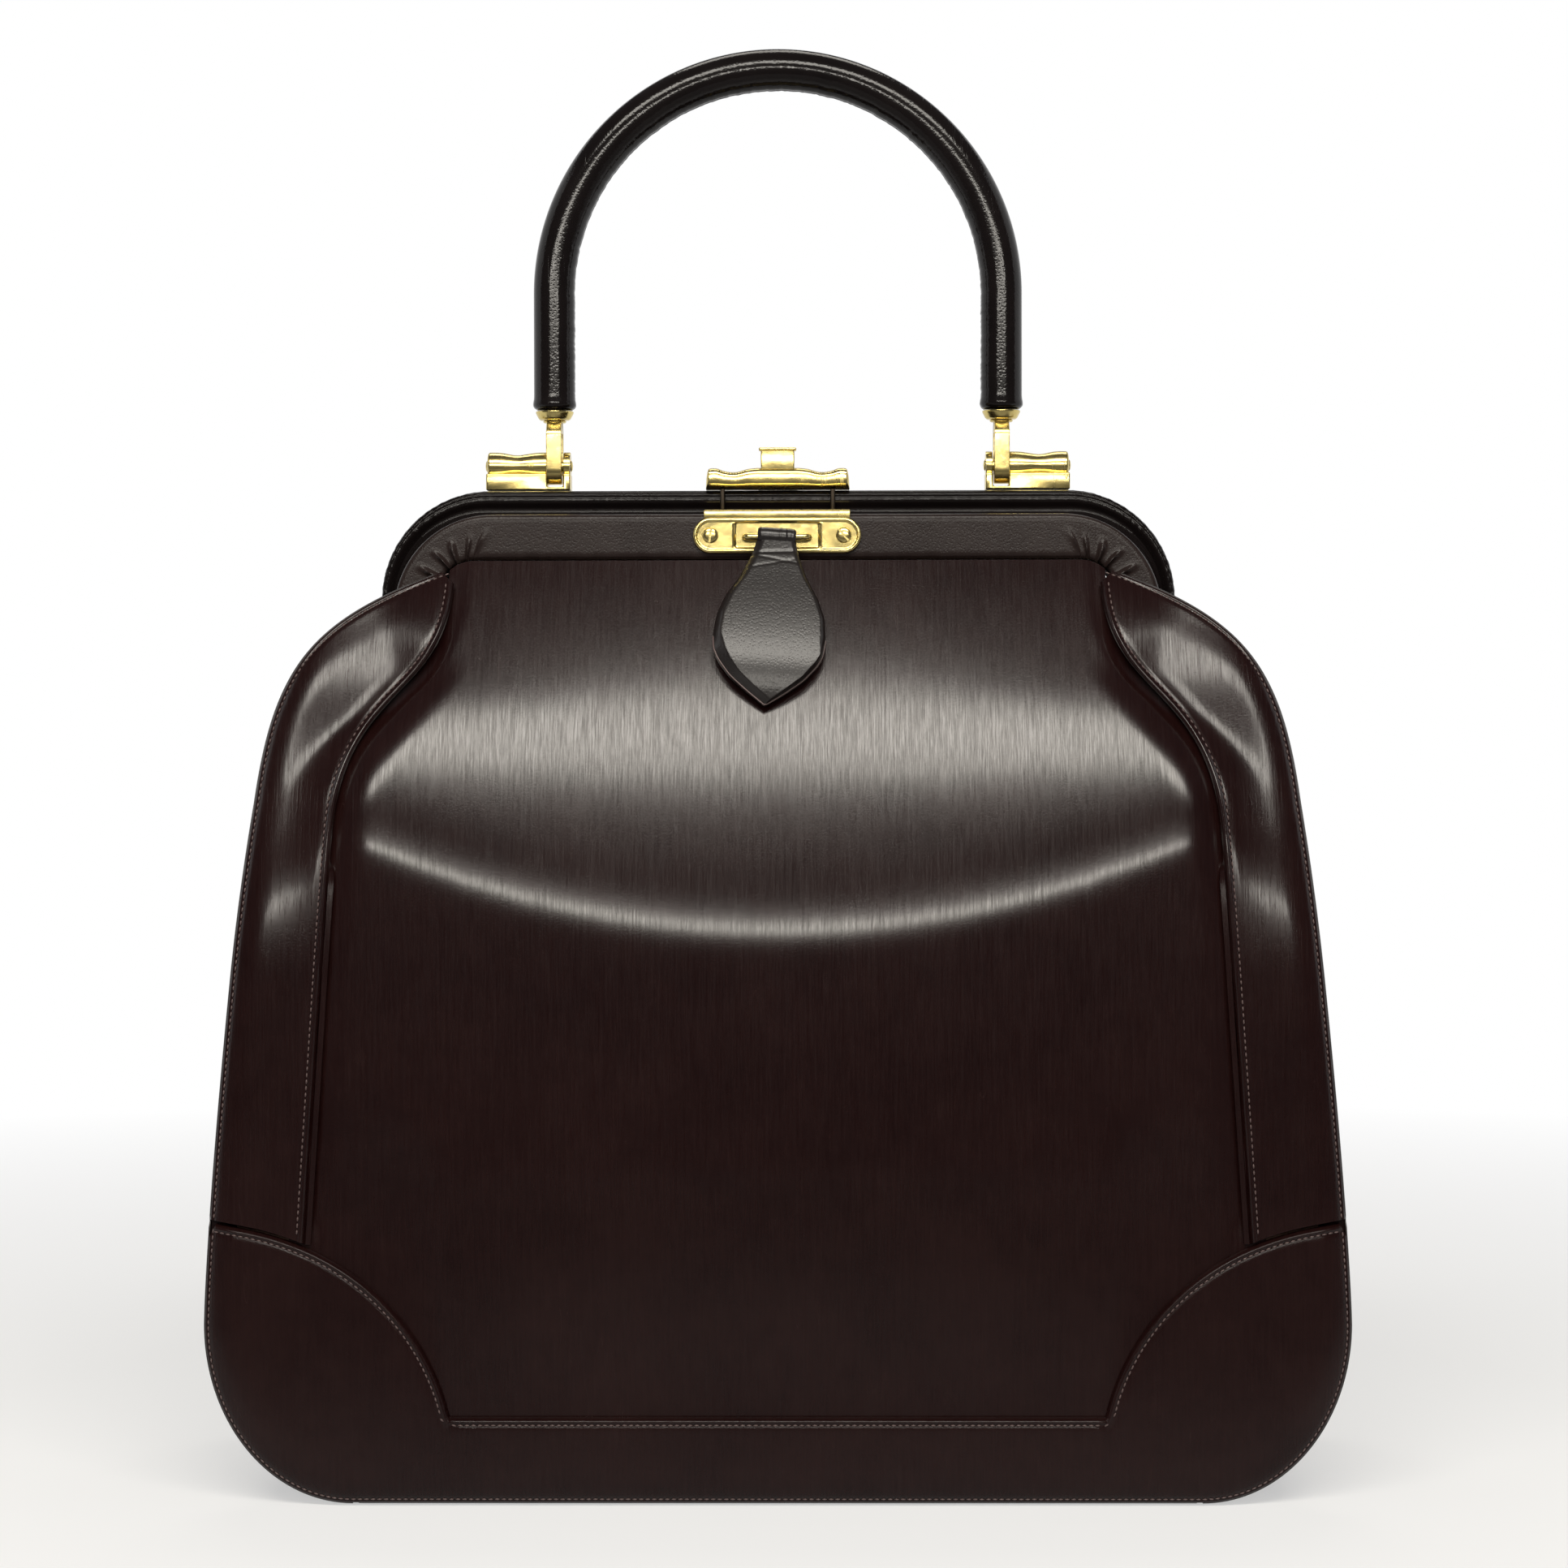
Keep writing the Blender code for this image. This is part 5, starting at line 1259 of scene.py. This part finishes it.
# %% Brackets and pins
PIVOT = 257.7 * MM
BRACKET_FLOOR = 251.3 * MM
INNER, SLOT_START, SLOT_END, OUTER = (value * MM for value in (53.5, 55.4, 59.5, 75.2))
block_top, slot_floor = BRACKET_FLOOR + 4.3 * MM, BRACKET_FLOOR + 0.8 * MM
for hand, sign in HANDS:
    outline = [
        (INNER, BRACKET_FLOOR), (OUTER, BRACKET_FLOOR), (OUTER, block_top),
        (SLOT_END, block_top), (SLOT_END, slot_floor),
        (SLOT_START, slot_floor), (SLOT_START, block_top), (INNER, block_top),
    ]
    base = blank(np.array(outline) * (sign, 1), PIVOT_Y - 4 * MM, PIVOT_Y + 4 * MM, "Y", 0.38 * MM)
    length = OUTER - SLOT_END - 0.2 * MM
    barrel = [
        (0, 0), (3.6, 0), (3.6, 0.06), (3.55, 0.2), (2.85, 0.48),
        (2.9, 0.56), (3.6, 0.78), (3.6, 0.98), (2.9, 1), (0, 1),
    ]
    barrel = np.array(barrel) * (MM, length)
    barrel = turned_piece(barrel, (sign * SLOT_END, PIVOT_Y, PIVOT), (sign, 0, 0), 48, 1.2 * MM)
    ear = in_mm(rectangle((0, 0), (3.6, 1.75)))
    ear = turned_piece(ear, (sign * (INNER + 0.1 * MM), PIVOT_Y, PIVOT), (sign, 0, 0), 40)
    fitting(f"bracket_cast_{hand}", joined(base, barrel, ear), "bag", f"bracket_{hand}")
    shoulder = OUTER / MM - INNER / MM
    pin = [(0, -0.5), (1.1, -0.35), (1.5, 0), (1.5, shoulder), (1.1, 22.0), (0, 22.15)]
    pin = turned_piece(in_mm(pin), (sign * INNER, PIVOT_Y, PIVOT), (sign, 0, 0), 28)
    fitting(f"pivot_pin_{hand}", pin, "bag", f"bracket_pin_{hand}")

# %% Lugs and ferrules
LUG_HALF = 1.95 * MM
EYE, STRAP = 3.65 * MM, 2.2 * MM
LUG_CREASE, LUG_TOP = 8.2 * MM, 11.4 * MM
half_loop = [(EYE, -EYE), (EYE, LUG_CREASE), (1.3 * MM, LUG_TOP)]
loop = [(-y, z) for y, z in half_loop[::-1]] + half_loop
loop = np.concatenate(
    [
        rounded(loop[:3], 0.6 * MM, 8, closed=False)[:-1],
        rounded(loop[1:5], 2.8 * MM, 14, closed=False)[1:-1],
        rounded(loop[3:], 0.6 * MM, 8, closed=False)[1:],
    ]
)
loop = points_of(0, PIVOT_Y + loop[:, 0], PIVOT + loop[:, 1])
strap = rounded(rectangle((-STRAP / 2, -LUG_HALF), (STRAP / 2, LUG_HALF)), 0.35 * MM, 4)
for hand, sign in HANDS:
    x = sign * HANDLE_HALF
    strap_loop = sweep(loop + (x, 0, 0), (1, 0, 0), strap)
    top = HANDLE_FOOT - 0.3 * MM
    neck = rounded([(-3.4, 8.4), (3.4, 8.4), (1.5, 12.2), (-1.5, 12.2)], 0.4, 4)
    neck = blank(neck * MM + (PIVOT_Y, PIVOT), x - LUG_HALF, x + LUG_HALF, "X", 0.35 * MM)
    collar = [(0, 11.0), (2.7, 11.1), (3.1, 11.5), (2.2, 12.0), (2.0, 14.2), (0, 14.2)]
    collar = turned_piece(in_mm(collar), (x, PIVOT_Y, PIVOT), (0, 0, 1), 40)
    fitting(f"handle_loop_{hand}", joined(strap_loop, neck, collar), "handle", f"handle_lug_{hand}")
    cup = [
        (2.15, 0), (3.6, 0), (4.1, 0.35), (4.7, 1.5), (4.9, 1.9), (4.9, 2.3), (2.15, 2.3), (2.15, 0)
    ]
    cup = turned_piece(in_mm(cup), (x, PIVOT_Y, top - 2.3 * MM), (0, 0, 1), 56)
    fitting(f"ferrule_cup_{hand}", cup, "handle", f"ferrule_{hand}")

# %% [markdown]
# ## Catch plate
#
# The catch plate is a stamped stadium with a raised rim, a sunk field in the middle for the tab's
# bar, and a lip that folds over the top of the frame. Its face is a height map over a grid: how
# far a point is from the edge of the plate and of the field gives how deep it lies.

# %% Plate, lip, bar and screws
PLATE_FRONT = -16.3 * MM
PLATE_Z = 238.5 * MM
TAB_AXIS_Z = 238 * MM
PLATE_HALF, PLATE_RADIUS = 21.2 * MM, 4.5 * MM
# The rim has its height and radius. The dish and the field have their depth, and where they fall.
RIM = (0.55 * MM, 0.6 * MM)
DISH = (0.3 * MM, 0.7 * MM, 1.15 * MM)
FIELD = (0.35 * MM, -0.1 * MM, 0.15 * MM)
FIELD_SIZE = (10.6 * MM, 3.1 * MM, 0.5 * MM)
FIELD_RIDGE = (-0.18 * MM, 0.35 * MM, 0.2 * MM)
SCREW_RADIUS, SCREW_RISE, SCREW_PLACE = 2.0 * MM, 0.75 * MM, 16.8 * MM
SLOT_HALF, SLOT_BOTTOM = 0.27 * MM, 0.25 * MM


def box_distance(x, z, half_x, half_z, radius):
    """How far points lie outside a rounded rectangle, or inside it where the answer is negative."""
    over_x, over_z = np.abs(x) - half_x + radius, np.abs(z) - half_z + radius
    outside = np.hypot(np.maximum(over_x, 0), np.maximum(over_z, 0))
    return outside + np.minimum(np.maximum(over_x, over_z), 0) - radius


def plate_place(column, row):
    x = column * PLATE_HALF
    over = np.maximum(np.abs(x) - (PLATE_HALF - PLATE_RADIUS), 0)
    z = row * np.sqrt(np.maximum(PLATE_RADIUS**2 - over**2, 0))
    edge = -box_distance(x, z, PLATE_HALF, PLATE_RADIUS, PLATE_RADIUS)
    field = box_distance(x, z, *FIELD_SIZE)
    rim = RIM[0] * quarter_round(1 - edge / RIM[1])
    dish = DISH[0] * eased(edge, *DISH[1:])
    sunk = FIELD[0] * (1 - eased(field, *FIELD[1:]))
    raised = ridge(field, *FIELD_RIDGE)
    return x, PLATE_FRONT - 0.1 * MM + rim + dish + sunk + raised, PLATE_Z + z


def crowded(count):
    """Places from -1 to 1 that lie closer together towards both ends."""
    return np.sin(np.linspace(-math.pi / 2, math.pi / 2, count))


plate_columns, plate_rows = crowded(181), crowded(61)
plate = thicken(grid_mesh(plate_place, plate_columns, plate_rows), 0.5 * MM)
lip = [
    (-16.1, 242.6), (-15.35, 242.6), (-15.35, 244.3), (-2.0, 244.3),
    (-2.0, 244.9), (-15.7, 244.9), (-16.1, 244.5),
]
lip = blank(in_mm(lip), -18.4 * MM, 18.4 * MM, "X", 0.12 * MM)
fitting("catch_stamping", joined(plate, lip), "front_frame", "catch_plate")
bar = rounded([(-8, -15.6), (-8, -19), (8, -19), (8, -15.6)], 1.4, 8, closed=False) * MM
bar = points_of(bar[:, 0], bar[:, 1], TAB_AXIS_Z)
bar = sweep(bar, (0, 0, 1), circle(0.8 * MM, full_turn(20)))
fitting("tab_staple", bar, "front_frame", "tab_bar")


def screw_head(x, slot_turn):
    walls = [-SLOT_HALF, -SLOT_HALF * 0.9, SLOT_HALF * 0.9, SLOT_HALF]
    columns = np.sort(np.concatenate([crowded(25) * SCREW_RADIUS, walls]))

    def place(column, row):
        up = row * np.sqrt(np.maximum(SCREW_RADIUS**2 - column**2, 0))
        share = np.hypot(column, up) / SCREW_RADIUS
        height = SCREW_RISE * np.sqrt(np.maximum(1 - share**2.6, 0))
        in_slot = np.abs(column) < SLOT_HALF * 0.95
        height = np.where(in_slot, np.minimum(height, SLOT_BOTTOM), height)
        cos, sin = math.cos(slot_turn), math.sin(slot_turn)
        return x + column * cos - up * sin, -16.25 * MM - height, PLATE_Z + column * sin + up * cos

    return thicken(grid_mesh(place, columns, crowded(27)), 0.2 * MM)


fitting("catch_screw_left", screw_head(-SCREW_PLACE, -0.15), "front_frame", "plate_screw_left")
fitting("catch_screw_right", screw_head(SCREW_PLACE, 0.7), "front_frame", "plate_screw_right")
print("plate faces:", (len(plate_columns) - 1) * (len(plate_rows) - 1))

# %% [markdown]
# ## Clasp lever
#
# The lever is a short bar with a scalloped back, like a row of turned beads, and fine file marks
# in the two dips. A thumb piece stands on it, and two prongs, near black with painted shade, reach
# down to the catch plate's lip. The bar is a rounded section swept sideways, with a height for each
# step.

# %% Lever, thumb piece and prongs
LEVER_LOW, LEVER_HIGH = 251.15 * MM, 256.7 * MM
LEVER_NEAR, LEVER_FAR = -2.4 * MM, 8.5 * MM
LEVER_HALF = 18.4
CAP_START, CAP_LENGTH = 17.6, 0.82
FILE_MARKS, FILE_PITCH = 0.07, 0.62
PRONG_X, PRONG_HALF = 14.1 * MM, 0.6 * MM
SCALLOP_SHARES = (0, 0.30, 0.42, 0.56, 0.66, 0.76, 0.84, 0.93, 1)
SCALLOP_DROPS = (0, 0, 0.25, 1.05, 1.1, 0.75, 0.1, 0.05, 0.5)


def smoothed(values, width, mode="same"):
    window = np.hanning(width)
    return np.convolve(values, window / window.sum(), mode)


across = np.linspace(-LEVER_HALF, LEVER_HALF, 300)
share = np.abs(across) / LEVER_HALF
drop = np.interp(share, SCALLOP_SHARES, SCALLOP_DROPS)
drop = smoothed(np.pad(drop, 8, mode="edge"), 17, "valid")
drop = drop + FILE_MARKS * np.sin(2 * math.pi * across / FILE_PITCH) * bump(share, 0.62, 0.14)
past = np.maximum(np.abs(across) - CAP_START, 0) / CAP_LENGTH
cap = np.sqrt(np.maximum(1 - past**2, 0.02))
waves = np.sin(full_turn(40)), np.cos(full_turn(40))
squared = points_of(*(np.sign(wave) * np.abs(wave) ** 0.5 for wave in waves))
half_height = (LEVER_HIGH - LEVER_LOW - drop * MM) / 2 * cap
half_width = ((LEVER_FAR - LEVER_NEAR) / 2 - 0.35 * drop * MM) * (0.5 + 0.5 * cap)
rings = points_of(
    half_height[:, None] * (1 + squared[:, 0]), half_width[:, None] * squared[:, 1]
)
path = points_of(across * MM, (LEVER_NEAR + LEVER_FAR) / 2, LEVER_LOW)
lever = sweep(path, (0, 1, 0), rings)
stem = in_mm(rectangle((-4.3, 254), (4.3, 261.2)))
stem = blank(stem, -1.6 * MM, 1.0 * MM, "Y", 0.3 * MM)
rim = in_mm(rectangle((-4.8, 260.9), (4.8, 261.7)))
rim = blank(rim, -2.0 * MM, 1.4 * MM, "Y", 0.3 * MM)
parts, prongs = [lever, stem, rim], []
ear = rounded(rectangle((7.0, 251.65), (13.6, 255.0)), 1.6, 6) * MM
for hand, sign in HANDS:
    left, right = sign * PRONG_X - PRONG_HALF, sign * PRONG_X + PRONG_HALF
    prong = rectangle((left, 245.3 * MM), (right, 251.1 * MM))
    prongs.append(blank(prong, -2.1 * MM, -0.1 * MM, "Y", 0.3 * MM))
    parts.append(blank(ear, *sorted((sign * 5.5 * MM, sign * 9.1 * MM)), "X", 0.3 * MM))
fitting("clasp_casting", joined(*parts), "clasp", "clasp_lever")
# The prongs' near-black colour is painted shade of the gap between the frames.
finish_piece("clasp_prongs", joined(*prongs), PRONG_PAINTED_SHADE, "clasp", "frame_metal")
knuckle = rounded([(9.8, 251.3), (14.2, 251.3), (13.7, 254.9), (10.3, 254.9)], 1.6, 8) * MM
knuckle = blank(knuckle, -5.15 * MM, 5.15 * MM, "X", 0.3 * MM)
fitting("clasp_knuckle", knuckle, "bag", "clasp_hinge_base")
pin = [(0, 0), (0.7, 0.05), (0.8, 0.3), (0.8, 18.3), (0.7, 18.55), (0, 18.6)]
pin = turned_piece(in_mm(pin), (-9.3 * MM, 12 * MM, 253.3 * MM), (1, 0, 0), 20, 0.1 * MM)
fitting("clasp_pin", pin, "bag", "clasp_hinge_pin")

# %% [markdown]
# ## Pull tab
#
# The tab is a padded kite of leather on a loop round the bar. Its face is a raised field with
# bevels round it: soft and wide on the left, tight on the right, and creased where the lower
# left facet starts. The padding is thickest low down, which tilts the lower half to the light.


# %% The padded kite
TAB_START, TAB_LENGTH = 1.1 * MM, 46 * MM
TAB_BACK = 0.4
TAB_SHARES = (0, 0.1, 0.234, 0.36, 0.48, 0.6, 0.7, 0.76, 0.846, 0.925, 1)
TAB_HALVES = (4.8, 5.9, 8.4, 11.6, 13.5, 14.0, 13.5, 12.2, 9.2, 4.9, 0.15)
TAB_THICK = (1.7, 2.1, 2.85, 3.65, 4.3, 4.75, 4.9, 4.85, 4.4, 3.3, 1.9)
TAB_TURN = Matrix.Rotation(math.radians(4), 3, "Y") @ Matrix.Rotation(math.radians(-22), 3, "X")
TAB_ORIGIN = (0, -19 * MM, TAB_AXIS_Z)
fine = np.linspace(0, 1, 401)
halves, padding = (np.interp(fine, TAB_SHARES, values) for values in (TAB_HALVES, TAB_THICK))
for values in (halves, padding):
    values[20:-14] = smoothed(values, 29)[20:-14]
padding[40:-40] = smoothed(padding, 71)[40:-40]


def tab_half(share):
    return np.interp(share, fine, halves) * MM


def hung(spots):
    """Carries places on the tab, drawn hanging straight down, to where it lies."""
    return spots @ np.array(TAB_TURN).T + TAB_ORIGIN


def tab_front(x, share):
    half = tab_half(share)
    low = eased(share, 0.6, 0.72)
    thick = np.interp(share, fine, padding)
    left = np.clip((x + half) / MM / (2.3 + 0.5 * low), 0, 1)
    right = np.clip((half - x) / MM / (1.5 - 1.0 * low), 0, 1)
    soft = 1 - (1 - left) ** 2
    facet = 0.30 + 0.70 * left
    bevel = (soft * (1 - low) + facet * low) * (1 - (1 - right) ** 2) ** 0.6
    crown = 0.5 * (x / (14 * MM)) ** 2
    crease = 0.14 * bump(share + x * 2.5, 0.085, 0.010) + 0.10 * bump(share - x * 3, 0.13, 0.008)
    crease = crease + 0.08 * bump(share + x * 6, 0.155, 0.007)
    return (TAB_BACK - (thick - crown) * (0.35 + 0.65 * bevel) + crease) * MM


def tab_point(x, depth, share):
    return hung(points_of(x, depth, -TAB_START - share * (TAB_LENGTH - TAB_START)))


def tab_face(column, row):
    x = column * tab_half(row)
    return tab_point(x, tab_front(x, row), row).T


def tab_back(column, row):
    return tab_point(column * tab_half(row), TAB_BACK * MM, row).T


tab_columns = crowded(91) * 0.5 + np.linspace(-0.5, 0.5, 91)
tab_rows = np.linspace(0, 1, 151)
back = grid_mesh(tab_back, tab_columns, tab_rows)
bmesh.ops.reverse_faces(back, faces=back.faces)
kite = joined(grid_mesh(tab_face, tab_columns, tab_rows), back)
bmesh.ops.bridge_loops(kite, edges=[edge for edge in kite.edges if edge.is_boundary])
bmesh.ops.recalc_face_normals(kite, faces=kite.faces)
tab_side = np.array(TAB_TURN) @ (0, 1, 0)
tab_roll = points_of(np.linspace(-4.8, 4.8, 40) * MM, 0, 0)
ends = np.minimum(np.arange(40), np.arange(40)[::-1])[:, None]
swell = 2.2 * MM - 0.5 * MM * np.exp(-ends / 1.5) + 0.05 * MM * chance.normal(0, 1, (40, 1))
roll = sweep(hung(tab_roll), tab_side, circle(swell, full_turn(36)))
tab = finish_piece(
    "pull_tab_kite", joined(kite, roll), TAB_LEATHER_PAINTED_SHEEN, "pull_tab", "handle_leather", "pull_tab",
    sharp=40,
)
# A thin tube in the light thread colour runs down the tab's lower edges: partly its sewn edge,
# partly a painted highlight along that edge.
edge_shares = np.concatenate([np.linspace(0.62, 1, 50), np.linspace(1, 0.60, 50)[1:]])
edge_sides = np.concatenate([-np.ones(50), np.ones(49)])
edge_x = edge_sides * tab_half(edge_shares)
edge_line = tab_point(edge_x, tab_front(edge_x, edge_shares), edge_shares)
bm = sweep(edge_line, tab_side, circle(0.22 * MM, full_turn(10)))
finish_piece("pull_tab_edge_painted_highlight", bm, THREAD_AND_EDGE_HIGHLIGHT, "pull_tab", "handle_leather")
print("tab faces:", len(tab.data.polygons))

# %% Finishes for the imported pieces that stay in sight
for name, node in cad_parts.items():
    if node.hide_render:
        continue
    if name in ("base_panel", "base_board"):
        node.data.materials[0] = CUT_EDGE
    elif "core" in name or name.startswith("hinge_pin"):
        node.data.materials[0] = STEEL
    else:
        node.data.materials[0] = GOLD
    print("kept:", name)

# %% [markdown]
# ## Studio
#
# Dark glossy leather shows its lamps more than its colour. Two lamps draw what the photograph
# shows: a broad one high in front lights the sloping upper half of the panel, and a narrow one
# lower down is caught only by the crease, as a thin bright smile. Between them the leather mirrors
# the dim room. A third lamp keeps the back from going black. The floor and the wall behind are
# white to the eye and to mirrors, the floor keeps its shadow, and mirrors see the floor in front
# of the bag darker.


# %% Floor and wall
def stage_finish(name, near_glow, front_dim=1.0):
    """White to the camera and in mirrors. Near the bag it glows less, so the shadow shows.

    front_dim is what is left of it in front of the bag, for all rays but the camera's.
    """
    finish, tree, shader = shader_of(name)
    path = add_node(tree, "ShaderNodeLightPath").outputs
    seen = arithmetic(tree, "MAXIMUM", path["Is Camera Ray"], path["Is Glossy Ray"])
    seen = arithmetic(tree, "MAXIMUM", seen, path["Is Transmission Ray"])
    place = object_place(tree)
    away = add_node(tree, "ShaderNodeVectorMath", {0: place}, operation="LENGTH").outputs["Value"]
    before = add_node(tree, "ShaderNodeSeparateXYZ", {0: place}).outputs[1]
    dim = spread(tree, before, -0.24, -0.10, front_dim, 1.0)
    dim = arithmetic(tree, "MAXIMUM", dim, path["Is Camera Ray"])
    glow = arithmetic(tree, "MULTIPLY", seen, spread(tree, away, 0.25, 0.9, near_glow, 1.0))
    shade = arithmetic(tree, "MULTIPLY", arithmetic(tree, "SUBTRACT", 1.0, glow), 0.8)
    glow, shade = (arithmetic(tree, "MULTIPLY", value, dim) for value in (glow, shade))
    feed(tree, shader, {
        "Base Color": shade,
        "Emission Color": (1, 1, 1, 1),
        "Emission Strength": glow,
        "Roughness": 1.0,
        "Specular IOR Level": 0.0,
    })
    return finish


WALL_RADIUS, WALL_HEIGHT, WALL_SIDES = 3.0, 2.4, 96
FLOOR_FRONT, FLOOR_Z, WALL_FOOT = -0.6, -0.2 * MM, -1 * MM
bm = bmesh.new()
bmesh.ops.create_circle(bm, cap_ends=True, segments=WALL_SIDES, radius=WALL_RADIUS)
bmesh.ops.translate(bm, verts=bm.verts, vec=(0, 0, FLOOR_Z))
for vertex in bm.verts:
    vertex.co.y = max(vertex.co.y, FLOOR_FRONT)
mesh_object("studio_floor", bm, stage_finish("floor_paint", 0.5, 0.3))
bm = bmesh.new()
bmesh.ops.create_circle(bm, segments=WALL_SIDES, radius=WALL_RADIUS)
bmesh.ops.translate(bm, verts=bm.verts, vec=(0, 0, WALL_FOOT))
raised = verts_of(bmesh.ops.extrude_edge_only(bm, edges=bm.edges))
bmesh.ops.translate(bm, verts=raised, vec=(0, 0, WALL_HEIGHT))
before = [vertex for vertex in bm.verts if vertex.co.y < FLOOR_FRONT]
bmesh.ops.delete(bm, geom=before, context="VERTS")
mesh_object("studio_wall", bm, stage_finish("wall_paint", 1.0))

# %% Room light and lamps
world = bpy.data.worlds.new("studio")
bpy.context.scene.world = world
world.use_nodes = True
tree = world.node_tree
looked_at = add_node(tree, "ShaderNodeLightPath").outputs["Is Camera Ray"]
room_color = mixed(tree, looked_at, (0.09, 0.09, 0.095), (1, 1, 1))
feed(tree, tree.nodes["Background"], {"Color": room_color})


LAMP_COLOR = (1.0, 0.955, 0.87)
LAMP_AIM = Vector((0, -0.05, 0.18))


def softbox(name, elevation, turn, distance, width, height, exposure):
    """A soft lamp at an elevation and a turn in degrees, as bright at the bag as exposure says."""
    lamp = bpy.data.lights.new(name, "AREA")
    lamp.shape = "RECTANGLE"
    lamp.size, lamp.size_y = width, height
    lamp.energy = exposure * math.pi**2 * distance**2
    lamp.color = LAMP_COLOR
    light = add_object(name, lamp)
    up, side = math.radians(elevation), math.radians(turn)
    toward = Vector((math.sin(side) * math.cos(up), -math.cos(side) * math.cos(up), math.sin(up)))
    light.location = LAMP_AIM + toward * distance
    light.rotation_euler = (-toward).to_track_quat("-Z", "Y").to_euler()


softbox("high_lamp", 45, 0, distance=1.2, width=1.25, height=0.25, exposure=1.15)
softbox("low_lamp", 14, 0, distance=1.6, width=1.40, height=0.10, exposure=0.46)
softbox("back_lamp", 65, 180, distance=1.6, width=1.0, height=0.5, exposure=0.25)
print("lamps:", ", ".join(light.name for light in bpy.data.lights))

# %% [markdown]
# ## Camera
#
# The photograph was taken from straight in front, level with the middle of the picture. It doesn't
# show from how far. The camera stands 0.9 m away here, where the bag's shapes line up with it.

# %% Camera
camera_data = bpy.data.cameras.new("photo")
camera = add_object("photo", camera_data)
bpy.context.scene.camera = camera
camera.location = (0.010, -0.90, 0.190)
camera.rotation_euler = [math.radians(angle) for angle in (89.08, 0.1, 0.54)]
camera_data.lens = 80.5
camera_data.sensor_width = 36
camera_data.clip_end = 30

bpy.context.scene.view_settings.view_transform = "Standard"
